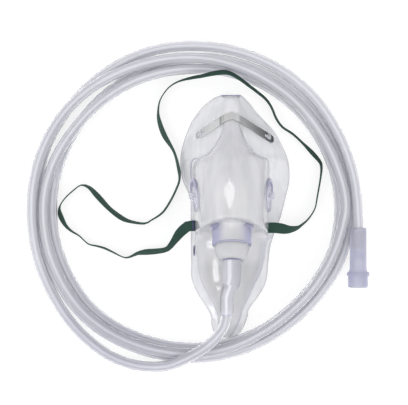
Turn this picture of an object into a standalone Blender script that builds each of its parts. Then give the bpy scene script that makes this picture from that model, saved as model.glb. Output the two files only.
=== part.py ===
# Oxygen face mask, lying face down on its rim, with its strap and a loose coil of tubing.
#
# Frame: +Z up, away from the surface that the mask lies on. +Y points to the nose end and
# +X to the side of the free connector. The origin is below the middle of the mask's rim.
# Lengths are metres; the free forms below are given in millimetres, times MM.

import math

import bmesh
import bpy
from mathutils import Matrix, Quaternion, Vector

MM = 0.001
GAP = 0.3 * MM

# Face mask moulding
MASK_LENGTH = 145.2 * MM
MASK_WIDTH = 65.4 * MM
MASK_DEPTH = 45.8 * MM
WALL = 1.1 * MM
RIM_LIP = 1.2 * MM
RIM_TRIM = 0.1 * MM

# Port collar, under the ledge of the dome
COLLAR_RADIUS = 11.5 * MM
COLLAR_BORE = 9.7 * MM
COLLAR_LENGTH = 12.3 * MM
COLLAR_ROOT = 2.0 * MM
COLLAR_TILT = math.radians(15)
COLLAR_X = -2.3 * MM
COLLAR_Y = -4.6 * MM
COLLAR_Z = 32.5 * MM

# Vent fields on both side walls, each with a stud in its middle
VENT_RADIUS = 9.8 * MM
VENT_PROUD = 0.8 * MM
VENT_ROOT = 0.6 * MM
VENT_Y = 12.6 * MM
VENT_Z = 19.0 * MM
VENT_HOLES = 6
VENT_HOLE_RADIUS = 1.2 * MM
VENT_HOLE_CIRCLE = 5.6 * MM
STUD_RADIUS = 1.1 * MM
STUD_HEAD_RADIUS = 1.8 * MM
STUD_HEAD_LENGTH = 1.2 * MM
STUD_LENGTH = 3.6 * MM

# Strap slots in both side walls
STRAP_WIDTH = 6.3 * MM
STRAP_THICKNESS = 0.7 * MM
SLOT_CLEARANCE = 0.9 * MM
SLOT_Z = 9.2 * MM
SLOT_LEFT_Y = -5.4 * MM
SLOT_RIGHT_Y = -6.6 * MM
SLOT_REACH = 6.0 * MM

# Nose clip and its rivets
CLIP_WIDTH = 5.0 * MM
CLIP_THICKNESS = 0.7 * MM
CLIP_LIFT = 0.55 * MM
CLIP_LEFT = (-0.3456 * MASK_WIDTH, 0.3264 * MASK_LENGTH)
CLIP_TOP = (-0.0367 * MASK_WIDTH, 0.4132 * MASK_LENGTH)
CLIP_RIGHT = (0.3425 * MASK_WIDTH, 0.3113 * MASK_LENGTH)
CLIP_STEPS = 24
CLIP_ROUND_STEPS = 5
CLIP_SLOT_LENGTH = 7.2 * MM
CLIP_SLOT_INSET = 4.8 * MM
RIVET_RADIUS = 0.8 * MM
RIVET_HEAD_RADIUS = 1.6 * MM
RIVET_HEAD_HEIGHT = 0.8 * MM

# Tubing adapter, pushed into the collar
ADAPTER_RIM_RADIUS = 10.3 * MM
ADAPTER_RIM_LENGTH = 1.8 * MM
ADAPTER_CONE_LENGTH = 7.0 * MM
ADAPTER_TIP_RADIUS = 7.0 * MM
ADAPTER_PLUG_LENGTH = 10.5 * MM
ADAPTER_WALL = 1.2 * MM
NIPPLE_RADIUS = 2.9 * MM
NIPPLE_LENGTH = 8.0 * MM
NIPPLE_BORE = 1.4 * MM

# Tubing, and the sleeves at its ends
TUBE_RADIUS = 3.1 * MM
SLEEVE_FIT = 0.5 * MM
CUFF_LENGTH = 31.4 * MM
CUFF_RADIUS = 5.9 * MM
CUFF_TAPER = 0.4 * MM
CUFF_WIDE_LENGTH = 14.0 * MM
CUFF_NARROW_RADIUS = 4.3 * MM
CUFF_STRAIGHT = 9.0 * MM
CUFF_BEND = 24.8 * MM
CUFF_DROOP = math.radians(-45)
CUFF_SWAY = math.radians(-19.5)
CUFF_SWAY_SHARE = 0.6
CUFF_SOCKET = 15.0 * MM
CONNECTOR_LENGTH = 35.3 * MM
CONNECTOR_BODY_RADIUS = 4.8 * MM
CONNECTOR_RING_RADIUS = 6.6 * MM
CONNECTOR_RING_LENGTH = 2.4 * MM
CONNECTOR_MOUTH_RADIUS = 5.9 * MM
CONNECTOR_MOUTH_LENGTH = 6.6 * MM
CONNECTOR_SOCKET = 13.5 * MM
CONNECTOR_BORE = 3.4 * MM

ROUND_STEPS = 32
FINE_STEPS = 20

# The moulding's sections, from the nose end to the chin. Each row gives, in millimetres:
# the place along Y of the crown, of the root of the dome and of the rim;
# the places along X of the left rim, left root, crown, right root and right rim;
# the heights of the rim, the root and the crown; and the fullness of the dome's arch.
SECTIONS = (
    (72.3, 72.3, 72.3, -8.8, -6.2, -2.5, 1.2, 3.7, 7.0, 8.6, 9.6, 1.0),
    (71.4, 71.3, 71.2, -11.8, -7.2, -2.5, 2.2, 5.3, 6.2, 11.4, 13.2, 1.0),
    (69.4, 69.2, 69.0, -15.2, -7.4, -2.5, 2.4, 7.4, 5.0, 13.8, 16.8, 1.0),
    (66.0, 66.0, 66.0, -19.1, -7.6, -2.5, 2.6, 10.2, 3.6, 16.4, 20.0, 1.0),
    (62.0, 62.0, 62.0, -22.3, -7.6, -2.5, 2.6, 13.3, 2.4, 19.0, 22.9, 1.1),
    (57.0, 57.0, 57.0, -25.8, -7.4, -2.5, 2.6, 18.2, 1.6, 21.2, 25.9, 1.25),
    (52.0, 52.0, 52.0, -28.1, -7.8, -2.5, 3.6, 22.7, 1.2, 22.2, 28.7, 1.45),
    (47.0, 47.0, 47.0, -30.0, -9.8, -2.5, 5.6, 26.0, 1.0, 20.8, 31.4, 1.65),
    (42.0, 42.0, 42.0, -31.5, -13.0, -2.5, 8.6, 28.5, 1.0, 17.6, 33.8, 1.85),
    (38.0, 38.0, 38.0, -32.3, -16.9, -2.5, 12.6, 30.4, 1.0, 13.8, 35.6, 2.05),
    (34.5, 34.5, 34.5, -32.7, -22.0, -2.4, 19.4, 31.6, 1.0, 10.0, 37.1, 2.2),
    (31.0, 31.0, 31.0, -32.7, -25.0, -2.4, 20.8, 32.3, 1.0, 6.8, 38.5, 2.4),
    (26.0, 26.0, 26.0, -32.3, -25.5, -2.3, 20.8, 32.7, 1.0, 4.6, 40.2, 2.5),
    (20.0, 20.0, 20.0, -30.7, -25.4, -2.3, 20.8, 32.4, 1.0, 3.4, 42.0, 2.5),
    (14.0, 13.8, 14.0, -27.9, -24.8, -2.3, 20.6, 31.0, 1.0, 2.8, 43.4, 2.5),
    (9.0, 7.8, 9.0, -26.6, -24.4, -2.3, 20.5, 29.8, 1.0, 2.4, 44.5, 2.5),
    (4.4, 1.4, 3.8, -26.5, -24.2, -2.3, 20.3, 28.5, 1.0, 2.2, 45.4, 2.5),
    (1.0, -4.0, -0.8, -26.5, -24.1, -2.3, 20.2, 27.2, 1.0, 2.0, 45.8, 2.5),
    (-0.8, -6.8, -4.2, -26.5, -24.0, -2.3, 20.1, 26.0, 1.0, 2.0, 45.0, 2.5),
    (-2.2, -8.2, -6.2, -26.4, -24.0, -2.3, 20.0, 25.2, 1.0, 1.9, 42.4, 2.5),
    (-4.6, -9.5, -8.0, -26.4, -24.0, -2.3, 19.9, 24.4, 1.0, 1.9, 32.5, 2.5),
    (-7.2, -10.8, -9.8, -26.4, -23.9, -2.3, 19.8, 23.7, 1.0, 1.8, 22.4, 2.4),
    (-8.9, -12.0, -11.5, -26.4, -23.9, -2.3, 19.7, 23.1, 1.0, 1.8, 18.9, 2.3),
    (-12.4, -14.2, -14.0, -26.4, -23.8, -2.4, 19.4, 22.3, 1.0, 1.8, 17.3, 2.2),
    (-18.6, -19.0, -19.0, -26.3, -23.6, -2.5, 18.6, 21.0, 1.0, 1.8, 16.6, 2.2),
    (-28.0, -28.0, -28.0, -26.2, -22.9, -2.7, 17.3, 20.0, 1.0, 1.8, 15.6, 2.1),
    (-35.5, -35.5, -35.5, -26.2, -21.8, -2.9, 15.0, 19.3, 1.0, 1.8, 14.6, 2.1),
    (-41.5, -41.5, -41.5, -24.6, -19.4, -3.2, 12.0, 17.7, 1.0, 1.8, 13.6, 2.0),
    (-47.5, -47.5, -47.5, -21.5, -16.4, -3.5, 9.2, 14.1, 1.0, 1.8, 12.4, 2.0),
    (-52.5, -52.5, -52.5, -18.2, -13.4, -3.8, 6.6, 10.4, 1.0, 1.8, 11.2, 2.0),
    (-56.5, -56.5, -56.5, -15.8, -11.7, -4.0, 4.8, 8.0, 1.0, 1.8, 10.3, 2.0),
    (-60.0, -60.0, -60.0, -14.3, -10.9, -4.2, 4.0, 7.6, 1.0, 1.8, 9.4, 2.0),
    (-65.0, -65.0, -65.0, -14.0, -10.1, -4.4, 2.2, 5.8, 1.0, 1.7, 7.8, 2.0),
    (-69.0, -69.0, -69.0, -12.7, -8.8, -4.6, -0.4, 3.4, 1.0, 1.5, 5.2, 2.0),
    (-71.3, -71.3, -71.3, -10.2, -7.4, -4.7, -1.9, 0.8, 1.0, 1.2, 2.2, 2.0),
    (-72.6, -72.5, -72.2, -8.2, -6.6, -4.8, -3.0, -1.4, 1.0, 1.1, 1.3, 2.0),
)
FORM_LENGTH = 145.2 * MM
FORM_WIDTH = 65.4 * MM
FORM_DEPTH = 45.8 * MM
RIM_SHARE = 0.94
ROOT_SHARE = 0.72
LIP_FADE_ROWS = 4
ARCH_STEPS = 8
BOW_POWER = 1.6

# The tubing's route, round the middle of its coil: angle in degrees, clockwise from +X as
# seen from above, then the distance from the coil's middle and the height, in millimetres.
COIL_X = -23.9 * MM
COIL_Y = 7.0 * MM
LEAD = (
    (76.1, 72.5, 27.2), (78.6, 76.3, 22.4), (81.6, 80.0, 18.6), (85.2, 83.9, 16.4),
    (89.4, 87.7, 15.4), (94.5, 92.3, 13.6), (100.0, 97.3, 8.6),
)
TURN_1 = (
    (110, 102.0, 3.9), (120, 103.6, 3.2), (135, 102.3, 3.2), (150, 100.1, 4.2),
    (165, 98.5, 7.5), (180, 97.3, 8.5), (195, 96.7, 9.3), (210, 95.7, 9.5),
    (220, 94.5, 9.5), (230, 92.8, 9.1), (240, 90.9, 8.7), (250, 89.4, 9.0),
    (260, 88.3, 9.4), (270, 87.6, 9.5), (285, 86.5, 9.3), (300, 85.6, 9.0),
    (315, 85.7, 9.2), (330, 86.1, 9.3), (345, 87.5, 9.2),
)
TURN_2 = (
    (0, 89.8, 8.6), (8, 88.6, 9.2), (20, 87.2, 9.5), (35, 85.8, 9.5),
    (50, 85.0, 9.5), (65, 85.9, 9.3), (75, 87.1, 9.1), (90, 88.3, 8.8),
    (110, 89.8, 8.9), (122, 91.0, 9.0), (135, 91.9, 9.0), (150, 91.5, 9.0),
    (165, 91.0, 9.0), (180, 90.2, 8.3), (188, 89.4, 7.9), (196, 88.0, 8.6),
    (204, 86.4, 9.4), (212, 84.9, 9.6), (222, 83.7, 9.5), (230, 83.0, 9.1),
    (240, 82.3, 8.7), (250, 81.7, 7.9), (260, 81.4, 6.2), (270, 81.4, 4.2),
    (285, 81.9, 3.2), (300, 82.8, 3.2), (315, 83.5, 3.2), (330, 84.3, 3.2), (345, 85.4, 3.2),
)
TURN_3 = (
    (0, 86.3, 3.2), (8, 86.6, 3.2), (20, 86.6, 3.2), (35, 85.3, 3.2),
    (50, 84.5, 3.2), (65, 84.7, 3.2), (75, 85.0, 3.2), (90, 85.3, 3.2),
    (110, 86.0, 3.2), (122, 86.9, 3.2), (135, 87.6, 3.2), (150, 86.7, 3.2),
    (165, 86.2, 3.2), (180, 85.6, 3.2), (196, 84.8, 3.2), (212, 84.6, 3.2),
    (222, 84.8, 3.2), (230, 85.0, 3.2), (240, 85.4, 3.2), (250, 86.3, 3.2),
    (260, 87.3, 3.2), (270, 87.9, 3.2), (285, 88.5, 3.2), (300, 89.1, 3.2),
    (315, 89.7, 3.2), (330, 90.7, 3.2), (345, 91.8, 3.2),
)
TURN_4 = (
    (0, 93.2, 3.2), (8, 93.3, 3.2), (20, 92.9, 3.2), (35, 91.6, 3.2),
    (50, 90.8, 3.2), (65, 90.9, 3.2), (75, 91.2, 3.2), (90, 91.5, 3.2),
    (110, 92.4, 3.2), (122, 93.4, 3.2), (135, 94.2, 3.2), (150, 93.8, 3.2),
    (165, 93.5, 3.2), (180, 93.9, 3.2), (188, 94.8, 3.2), (200, 95.5, 3.2),
    (215, 95.3, 3.2), (225, 95.4, 3.2), (240, 95.6, 3.2), (255, 95.7, 3.2),
    (270, 95.1, 3.2), (285, 95.2, 3.2), (300, 95.5, 3.8), (315, 95.6, 6.1),
    (330, 95.2, 7.7), (345, 95.6, 8.4),
)
TUBE_END = ((0, 96.6, 8.9), (4, 97.3, 9.2))
TURN_STEP = 18
COIL_START = 108

# The free connector's axis, from the end that holds the tubing to its mouth
CONNECTOR_START = Vector((73.3, -6.7, 9.4)) * MM
CONNECTOR_DROP = 2.7 * MM

# The strap's route, laid by hand: x, y and height of its middle line in millimetres, and
# its lean in degrees, from 0 on edge to 90 lying flat.
STRAP_ROUTE = (
    (-22.2, -5.4, 9.2, 90), (-24, -5.4, 9.2, 90), (-25.8, -5.4, 9.2, 90), (-28.4, -5.8, 9, 84),
    (-30.7, -7.6, 8.4, 72), (-33.3, -10.3, 7.4, 60), (-36.7, -15.1, 5.6, 36),
    (-40.7, -19.4, 4.2, 27), (-47, -20.7, 3.6, 30), (-53.5, -21.2, 3.5, 31),
    (-58.3, -22, 3.4, 17), (-62.1, -23.8, 3.3, 8), (-65.3, -24.6, 3.3, 4), (-68.5, -23.6, 3.3, 3),
    (-73, -21.3, 3.3, 7), (-78.3, -18.8, 3.3, 9), (-83.5, -17.4, 3.3, 6), (-87.9, -16.3, 3.3, 4),
    (-93.2, -11.5, 3.3, 5), (-97.9, -8.6, 3.3, 10), (-101.5, -5.1, 3.4, 20),
    (-104.2, 0.1, 3.4, 29), (-105.1, 3.6, 3.3, 19), (-104.5, 6.9, 3.3, 5), (-101.3, 11.5, 3.3, 4),
    (-96, 16.3, 3.3, 4), (-92, 18.9, 3.3, 3), (-87.3, 17.5, 3.4, 14), (-81.9, 12, 3.5, 27),
    (-75.3, 4.9, 3.5, 21), (-68, -0.7, 3.5, 23), (-62.3, -3, 3.4, 13), (-54.2, -4.1, 3.3, 6),
    (-50.2, -2.2, 3.3, 3), (-43.4, 2.4, 3.3, 7), (-38.5, 9.6, 3.3, 7), (-34.9, 17, 3.3, 7),
    (-33.2, 22.3, 3.3, 8), (-33.7, 28.6, 3.3, 15), (-36.5, 38.8, 3.3, 10), (-42.2, 48.5, 3.4, 26),
    (-45.2, 56.6, 3.4, 21), (-46, 62.9, 3.3, 8), (-44.6, 70.2, 3.3, 3), (-39.7, 77.2, 3.3, 4),
    (-33.2, 81.1, 3.7, 8), (-25.3, 83, 6.2, 18), (-20.3, 83.7, 9, 20), (-14.7, 84.9, 10.5, 25),
    (-7.6, 85.9, 10.5, 28), (-2.8, 85.2, 10.5, 23), (3.1, 81.8, 10.4, 20), (8.3, 78, 8.6, 17),
    (12.8, 74.8, 6.2, 16), (18.5, 70.2, 4, 14), (22, 65.1, 3.3, 11), (24.7, 58.7, 3.3, 11),
    (28.4, 53.6, 3.3, 11), (34.5, 49.5, 3.3, 11), (40.3, 44.2, 3.3, 12), (46.1, 38.3, 3.4, 24),
    (50.6, 33.1, 3.4, 19), (51.7, 30, 3.3, 14), (51.3, 23.8, 3.3, 8), (49.4, 12.7, 3.3, 6),
    (47.8, 4.8, 3.3, 4), (43.9, -1.4, 3.4, 6), (39.9, -5, 3.9, 11), (36.9, -7, 5, 22),
    (32, -7.8, 7.4, 46), (27.2, -7, 8.9, 78), (23.5, -6.6, 9.2, 88), (20.3, -6.6, 9.2, 90),
    (18.2, -6.6, 9.2, 90),
)
STRAP_STEP = 5.5 * MM

COLOURS = {
    "mask_shell": ((0.80, 0.81, 0.86, 1.0), 0.25, 0.0),
    "nose_clip": ((0.70, 0.70, 0.68, 1.0), 0.35, 0.9),
    "tubing_adapter": ((0.84, 0.85, 0.86, 1.0), 0.3, 0.0),
    "tube_cuff": ((0.60, 0.61, 0.76, 1.0), 0.3, 0.0),
    "oxygen_tube": ((0.72, 0.73, 0.79, 1.0), 0.25, 0.0),
    "supply_connector": ((0.52, 0.53, 0.72, 1.0), 0.3, 0.0),
    "elastic_strap": ((0.03, 0.08, 0.06, 1.0), 0.8, 0.0),
}


def clear_scene():
    for old in list(bpy.data.objects):
        bpy.data.objects.remove(old, do_unlink=True)


def new_collection(name):
    collection = bpy.data.collections.new(name)
    bpy.context.scene.collection.children.link(collection)
    return collection


def material_for(name):
    colour, roughness, metallic = COLOURS[name]
    material = bpy.data.materials.new(name)
    material.use_nodes = True
    shader = material.node_tree.nodes["Principled BSDF"]
    shader.inputs["Base Color"].default_value = colour
    shader.inputs["Roughness"].default_value = roughness
    shader.inputs["Metallic"].default_value = metallic
    return material


def new_object(name, data, collection):
    obj = bpy.data.objects.new(name, data)
    collection.objects.link(obj)
    return obj


def finish_part(obj, sharp=40):
    obj.data.materials.clear()
    obj.data.materials.append(material_for(obj.name))
    if isinstance(obj.data, bpy.types.Mesh):
        obj.data.shade_smooth()
        obj.data.set_sharp_from_angle(angle=math.radians(sharp))


def make_tool(obj):
    obj.hide_render = True
    obj.display_type = "WIRE"


def evaluated_mesh(obj):
    """The object's mesh with its modifiers applied; the object is removed."""
    bpy.context.view_layer.update()
    graph = bpy.context.evaluated_depsgraph_get()
    mesh = bpy.data.meshes.new_from_object(obj.evaluated_get(graph))
    bpy.data.objects.remove(obj, do_unlink=True)
    return mesh


def turned_mesh(name, profile, closed, steps, collection):
    """Turn a profile of (radius, height) points, given down its outer side, about Z."""
    count = len(profile)
    edges = [(i, i + 1) for i in range(count - 1)]
    if closed:
        edges.append((count - 1, 0))
    mesh = bpy.data.meshes.new(name)
    mesh.from_pydata([(radius, 0.0, height) for radius, height in profile], edges, [])
    obj = new_object(name, mesh, collection)
    screw = obj.modifiers.new("turn", "SCREW")
    screw.axis = "Z"
    screw.angle = 2 * math.pi
    screw.steps = steps
    screw.render_steps = steps
    screw.use_merge_vertices = True
    screw.merge_threshold = 0.00001
    return evaluated_mesh(obj)


def place_along(start, direction):
    """A matrix that carries the origin to start and +Z to direction."""
    turn = direction.to_track_quat("Z", "Y").to_matrix().to_4x4()
    return Matrix.Translation(start) @ turn


def boolean(obj, tool, operation):
    cut = obj.modifiers.new(tool.name, "BOOLEAN")
    cut.operation = operation
    cut.solver = "EXACT"
    cut.object = tool


def smooth_value(before, first, second, after, share):
    """A smooth curve's value between first and second, for evenly spaced values."""
    return 0.5 * (
        2 * first
        + (second - before) * share
        + (2 * before - 5 * first + 4 * second - after) * share ** 2
        + (3 * first - before - 3 * second + after) * share ** 3
    )


def section_at(place):
    """The moulding's section at a place counted in rows of SECTIONS, in metres."""
    last = len(SECTIONS) - 1
    first = min(int(place), last - 1)
    share = place - first
    rows = [SECTIONS[min(max(first + step, 0), last)] for step in (-1, 0, 1, 2)]
    row = [smooth_value(*values, share) for values in zip(*rows)]
    along = MASK_LENGTH / FORM_LENGTH
    across = MASK_WIDTH / FORM_WIDTH
    up = MASK_DEPTH / FORM_DEPTH
    scales = [along] * 3 + [across] * 5 + [up] * 3
    lengths = [value * MM * scale for value, scale in zip(row, scales)]
    lengths[8] = max(lengths[8], WALL - RIM_TRIM)
    return lengths + [row[11]]


def shell_point(place, share):
    """A point on the outer surface; share runs from -1, the left rim, over 0 to 1."""
    section = section_at(place)
    crown_y, root_y, rim_y, rim_left, root_left, crown_x, root_right, rim_right = section[:8]
    rim_z, root_z, crown_z, fullness = section[8:]
    side = -1.0 if share < 0 else 1.0
    rim_x = rim_left if share < 0 else rim_right
    root_x = root_left if share < 0 else root_right
    lip_x = rim_x - side * RIM_LIP
    fade = max(0.0, 1.0 - place / LIP_FADE_ROWS)
    lip_z = rim_z + (root_z - rim_z) * fade * RIM_LIP / abs(rim_x - root_x)
    reach = abs(share)
    if reach >= RIM_SHARE:
        part = (1.0 - reach) / (1.0 - RIM_SHARE)
        return Vector((rim_x + (lip_x - rim_x) * part, rim_y, rim_z + (lip_z - rim_z) * part))
    if reach >= ROOT_SHARE:
        part = (RIM_SHARE - reach) / (RIM_SHARE - ROOT_SHARE)
        x = lip_x + (root_x - lip_x) * part
        y = rim_y + (root_y - rim_y) * part
        return Vector((x, y, lip_z + (root_z - lip_z) * part))
    angle = (1.0 - reach / ROOT_SHARE) * math.pi / 2
    out = max(math.cos(angle), 0.0) ** (2 / max(fullness, 2.0))
    high = math.sin(angle) ** (2 / fullness)
    x = crown_x + (root_x - crown_x) * out
    y = crown_y + (root_y - crown_y) * out ** BOW_POWER
    return Vector((x, y, root_z + (crown_z - root_z) * high))


def place_of(y):
    """The place, in rows of SECTIONS, of the crown at y."""
    low, high = 0.0, float(len(SECTIONS) - 1)
    for _ in range(40):
        middle = (low + high) / 2
        if section_at(middle)[0] > y:
            low = middle
        else:
            high = middle
    return low


def height_over(x, y):
    """The outer surface's height over a point of the nose part."""
    place = place_of(y)
    low, high = -1.0, 1.0
    for _ in range(40):
        middle = (low + high) / 2
        if shell_point(place, middle).x < x:
            low = middle
        else:
            high = middle
    return shell_point(place, low).z


def nose_normal(x, y):
    reach = 1.0 * MM
    slope_x = (height_over(x + reach, y) - height_over(x - reach, y)) / (2 * reach)
    slope_y = (height_over(x, y + reach) - height_over(x, y - reach)) / (2 * reach)
    return Vector((-slope_x, -slope_y, 1.0)).normalized()


def wall_point(side, y, z):
    """The outer side wall at a height; the side is -1 left or 1 right."""
    place = 0.0
    share = side * 0.5
    for _ in range(30):
        low, high = 0.0, float(len(SECTIONS) - 1)
        for _ in range(40):
            middle = (low + high) / 2
            if shell_point(middle, share).y > y:
                low = middle
            else:
                high = middle
        place = low
        near, far = 0.0, ROOT_SHARE
        for _ in range(40):
            middle = (near + far) / 2
            if shell_point(place, side * middle).z > z:
                near = middle
            else:
                far = middle
        share = side * near
    return shell_point(place, share)


def wall_normal(side, y, z):
    reach = 2.0 * MM
    up = wall_point(side, y, z + reach) - wall_point(side, y, z - reach)
    along = wall_point(side, y + reach, z) - wall_point(side, y - reach, z)
    normal = along.cross(up).normalized()
    return normal if normal.x * side > 0 else -normal


def shell_columns():
    side = [1.0, RIM_SHARE, ROOT_SHARE]
    side += [ROOT_SHARE * (1 - step / ARCH_STEPS) for step in range(1, ARCH_STEPS)]
    return [-share for share in side] + [0.0] + side[::-1]


def shell_surface(collection):
    columns = shell_columns()
    mesh = bmesh.new()
    rows = [
        [mesh.verts.new(shell_point(place, share)) for share in columns]
        for place in range(len(SECTIONS))
    ]
    for row, following in zip(rows, rows[1:]):
        for left in range(len(columns) - 1):
            corners = (row[left], following[left], following[left + 1], row[left + 1])
            mesh.faces.new(corners)
    data = bpy.data.meshes.new("mask_shell")
    mesh.to_mesh(data)
    mesh.free()
    obj = new_object("mask_shell", data, collection)
    solid = obj.modifiers.new("wall", "SOLIDIFY")
    solid.thickness = WALL
    solid.offset = -1.0
    solid.use_even_offset = True
    obj.modifiers.new("flat_faces", "TRIANGULATE")
    return obj


def box_tool(name, low, high, collection):
    mesh = bmesh.new()
    bmesh.ops.create_cube(mesh, size=1.0)
    low, high = Vector(low), Vector(high)
    size = high - low
    bmesh.ops.scale(mesh, vec=size, verts=mesh.verts)
    bmesh.ops.translate(mesh, vec=(low + high) / 2, verts=mesh.verts)
    data = bpy.data.meshes.new(name)
    mesh.to_mesh(data)
    mesh.free()
    return new_object(name, data, collection)


def join_tool(name, meshes, collection):
    """One tool object from several separate meshes."""
    joined = bmesh.new()
    for mesh in meshes:
        joined.from_mesh(mesh)
    data = bpy.data.meshes.new(name)
    joined.to_mesh(data)
    joined.free()
    tool = new_object(name, data, collection)
    make_tool(tool)
    return tool


def cylinder_mesh(radius, low, high, steps, matrix):
    mesh = bmesh.new()
    bmesh.ops.create_cone(
        mesh, cap_ends=True, segments=steps, radius1=radius, radius2=radius, depth=high - low
    )
    bmesh.ops.translate(mesh, vec=(0, 0, (low + high) / 2), verts=mesh.verts)
    bmesh.ops.transform(mesh, matrix=matrix, verts=mesh.verts)
    data = bpy.data.meshes.new("cylinder")
    mesh.to_mesh(data)
    mesh.free()
    return data


def collar_frame():
    """Where the collar meets the dome's front wall, with +Z out along its axis."""
    start = Vector((COLLAR_X, COLLAR_Y, COLLAR_Z))
    direction = Vector((0, -math.cos(COLLAR_TILT), math.sin(COLLAR_TILT)))
    return place_along(start, direction)


def vent_frames():
    for side in (-1, 1):
        point = wall_point(side, VENT_Y, VENT_Z)
        yield place_along(point, wall_normal(side, VENT_Y, VENT_Z))


def vent_bosses(tools):
    """Both vent fields with their studs, each turned in one piece."""
    head_low = STUD_LENGTH - STUD_HEAD_LENGTH
    profile = (
        (0.0, STUD_LENGTH), (STUD_HEAD_RADIUS, STUD_LENGTH), (STUD_HEAD_RADIUS, head_low),
        (STUD_RADIUS, head_low), (STUD_RADIUS, VENT_PROUD), (VENT_RADIUS, VENT_PROUD),
        (VENT_RADIUS, -WALL - VENT_ROOT), (0.0, -WALL - VENT_ROOT),
    )
    meshes = []
    for frame in vent_frames():
        mesh = turned_mesh("vent_boss", profile, False, FINE_STEPS, tools)
        mesh.transform(frame)
        meshes.append(mesh)
    return join_tool("vent_bosses", meshes, tools)


def vent_holes():
    for frame in vent_frames():
        for hole in range(VENT_HOLES):
            angle = 2 * math.pi * hole / VENT_HOLES
            x = VENT_HOLE_CIRCLE * math.cos(angle)
            y = VENT_HOLE_CIRCLE * math.sin(angle)
            matrix = frame @ Matrix.Translation((x, y, 0))
            reach = WALL + VENT_ROOT + VENT_PROUD + 1.5 * MM
            yield cylinder_mesh(VENT_HOLE_RADIUS, -reach, reach, 8, matrix)


def slot_boxes(tools):
    half_long = STRAP_WIDTH / 2 + SLOT_CLEARANCE
    half_high = STRAP_THICKNESS / 2 + SLOT_CLEARANCE
    for side, y in ((-1, SLOT_LEFT_Y), (1, SLOT_RIGHT_Y)):
        x = wall_point(side, y, SLOT_Z).x
        low = (x - SLOT_REACH / 2, y - half_long, SLOT_Z - half_high)
        high = (x + SLOT_REACH / 2, y + half_long, SLOT_Z + half_high)
        box = box_tool("slot", low, high, tools)
        yield evaluated_mesh(box)


def rivet_frames():
    path = clip_path()
    for points in (path, path[::-1]):
        point, normal = point_along(points, CLIP_SLOT_INSET)
        yield place_along(point, normal)


def rivets(tools):
    """The rivets stand on the shell, through the clip's slots, under round heads."""
    head_low = CLIP_THICKNESS / 2 + GAP
    head_high = head_low + RIVET_HEAD_HEIGHT
    foot = -CLIP_THICKNESS / 2 - CLIP_LIFT - WALL / 2
    profile = (
        (0.0, head_high), (RIVET_HEAD_RADIUS * 0.6, head_high),
        (RIVET_HEAD_RADIUS, (head_low + head_high) / 2), (RIVET_HEAD_RADIUS, head_low),
        (RIVET_RADIUS, head_low), (RIVET_RADIUS, foot), (0.0, foot),
    )
    meshes = []
    for frame in rivet_frames():
        mesh = turned_mesh("rivet", profile, False, FINE_STEPS, tools)
        mesh.transform(frame)
        meshes.append(mesh)
    return join_tool("rivets", meshes, tools)


def build_mask_shell(parts, tools):
    shell = shell_surface(parts)
    reach = 2 * MASK_LENGTH
    floor = box_tool("floor_cut", (-reach, -reach, -reach), (reach, reach, 0.0), tools)
    make_tool(floor)
    boolean(shell, floor, "DIFFERENCE")

    frame = collar_frame()
    collar = join_tool(
        "collar", [cylinder_mesh(COLLAR_RADIUS, -COLLAR_ROOT, COLLAR_LENGTH, ROUND_STEPS, frame)],
        tools,
    )
    boolean(shell, collar, "UNION")
    boolean(shell, vent_bosses(tools), "UNION")
    boolean(shell, rivets(tools), "UNION")

    bore_reach = 3 * COLLAR_ROOT
    bore = cylinder_mesh(COLLAR_BORE, -bore_reach, COLLAR_LENGTH + bore_reach, ROUND_STEPS, frame)
    cuts = join_tool("openings_cut", [bore, *vent_holes(), *slot_boxes(tools)], tools)
    boolean(shell, cuts, "DIFFERENCE")
    finish_part(shell, 35)


def clip_path():
    """The clip's middle line: (point, normal) pairs a little above the nose's surface."""
    lift = CLIP_LIFT + CLIP_THICKNESS / 2
    left, top, right = Vector(CLIP_LEFT), Vector(CLIP_TOP), Vector(CLIP_RIGHT)
    path = []
    for step in range(CLIP_STEPS + 1):
        share = step / CLIP_STEPS
        if share < 0.5:
            flat = left.lerp(top, share * 2)
        else:
            flat = top.lerp(right, share * 2 - 1)
        turn = max(0.0, 1.0 - abs(share - 0.5) / 0.14)
        corner = (left + right) / 2 - top
        flat = flat + corner * 0.07 * turn * turn
        normal = nose_normal(flat.x, flat.y)
        point = Vector((flat.x, flat.y, height_over(flat.x, flat.y))) + normal * lift
        path.append((point, normal))
    return path


def point_along(path, distance):
    """The point and normal at a distance from the path's start."""
    for (point, normal), (following, next_normal) in zip(path, path[1:]):
        step = (following - point).length
        if distance <= step:
            share = distance / step
            return point.lerp(following, share), normal.lerp(next_normal, share).normalized()
        distance -= step
    return path[-1]


def swept_band(name, frames, width, thickness, collection):
    """A flat band through frames of (point, across, normal)."""
    mesh = bmesh.new()
    rings = []
    for point, across, normal in frames:
        corners = ((-1, -1), (1, -1), (1, 1), (-1, 1))
        ring = [
            mesh.verts.new(point + across * (a * width / 2) + normal * (n * thickness / 2))
            for a, n in corners
        ]
        rings.append(ring)
    for ring, following in zip(rings, rings[1:]):
        for corner in range(4):
            ahead = (corner + 1) % 4
            mesh.faces.new((ring[corner], ring[ahead], following[ahead], following[corner]))
    mesh.faces.new(rings[0][::-1])
    mesh.faces.new(rings[-1])
    bmesh.ops.recalc_face_normals(mesh, faces=mesh.faces)
    data = bpy.data.meshes.new(name)
    mesh.to_mesh(data)
    mesh.free()
    return new_object(name, data, collection)


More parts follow.
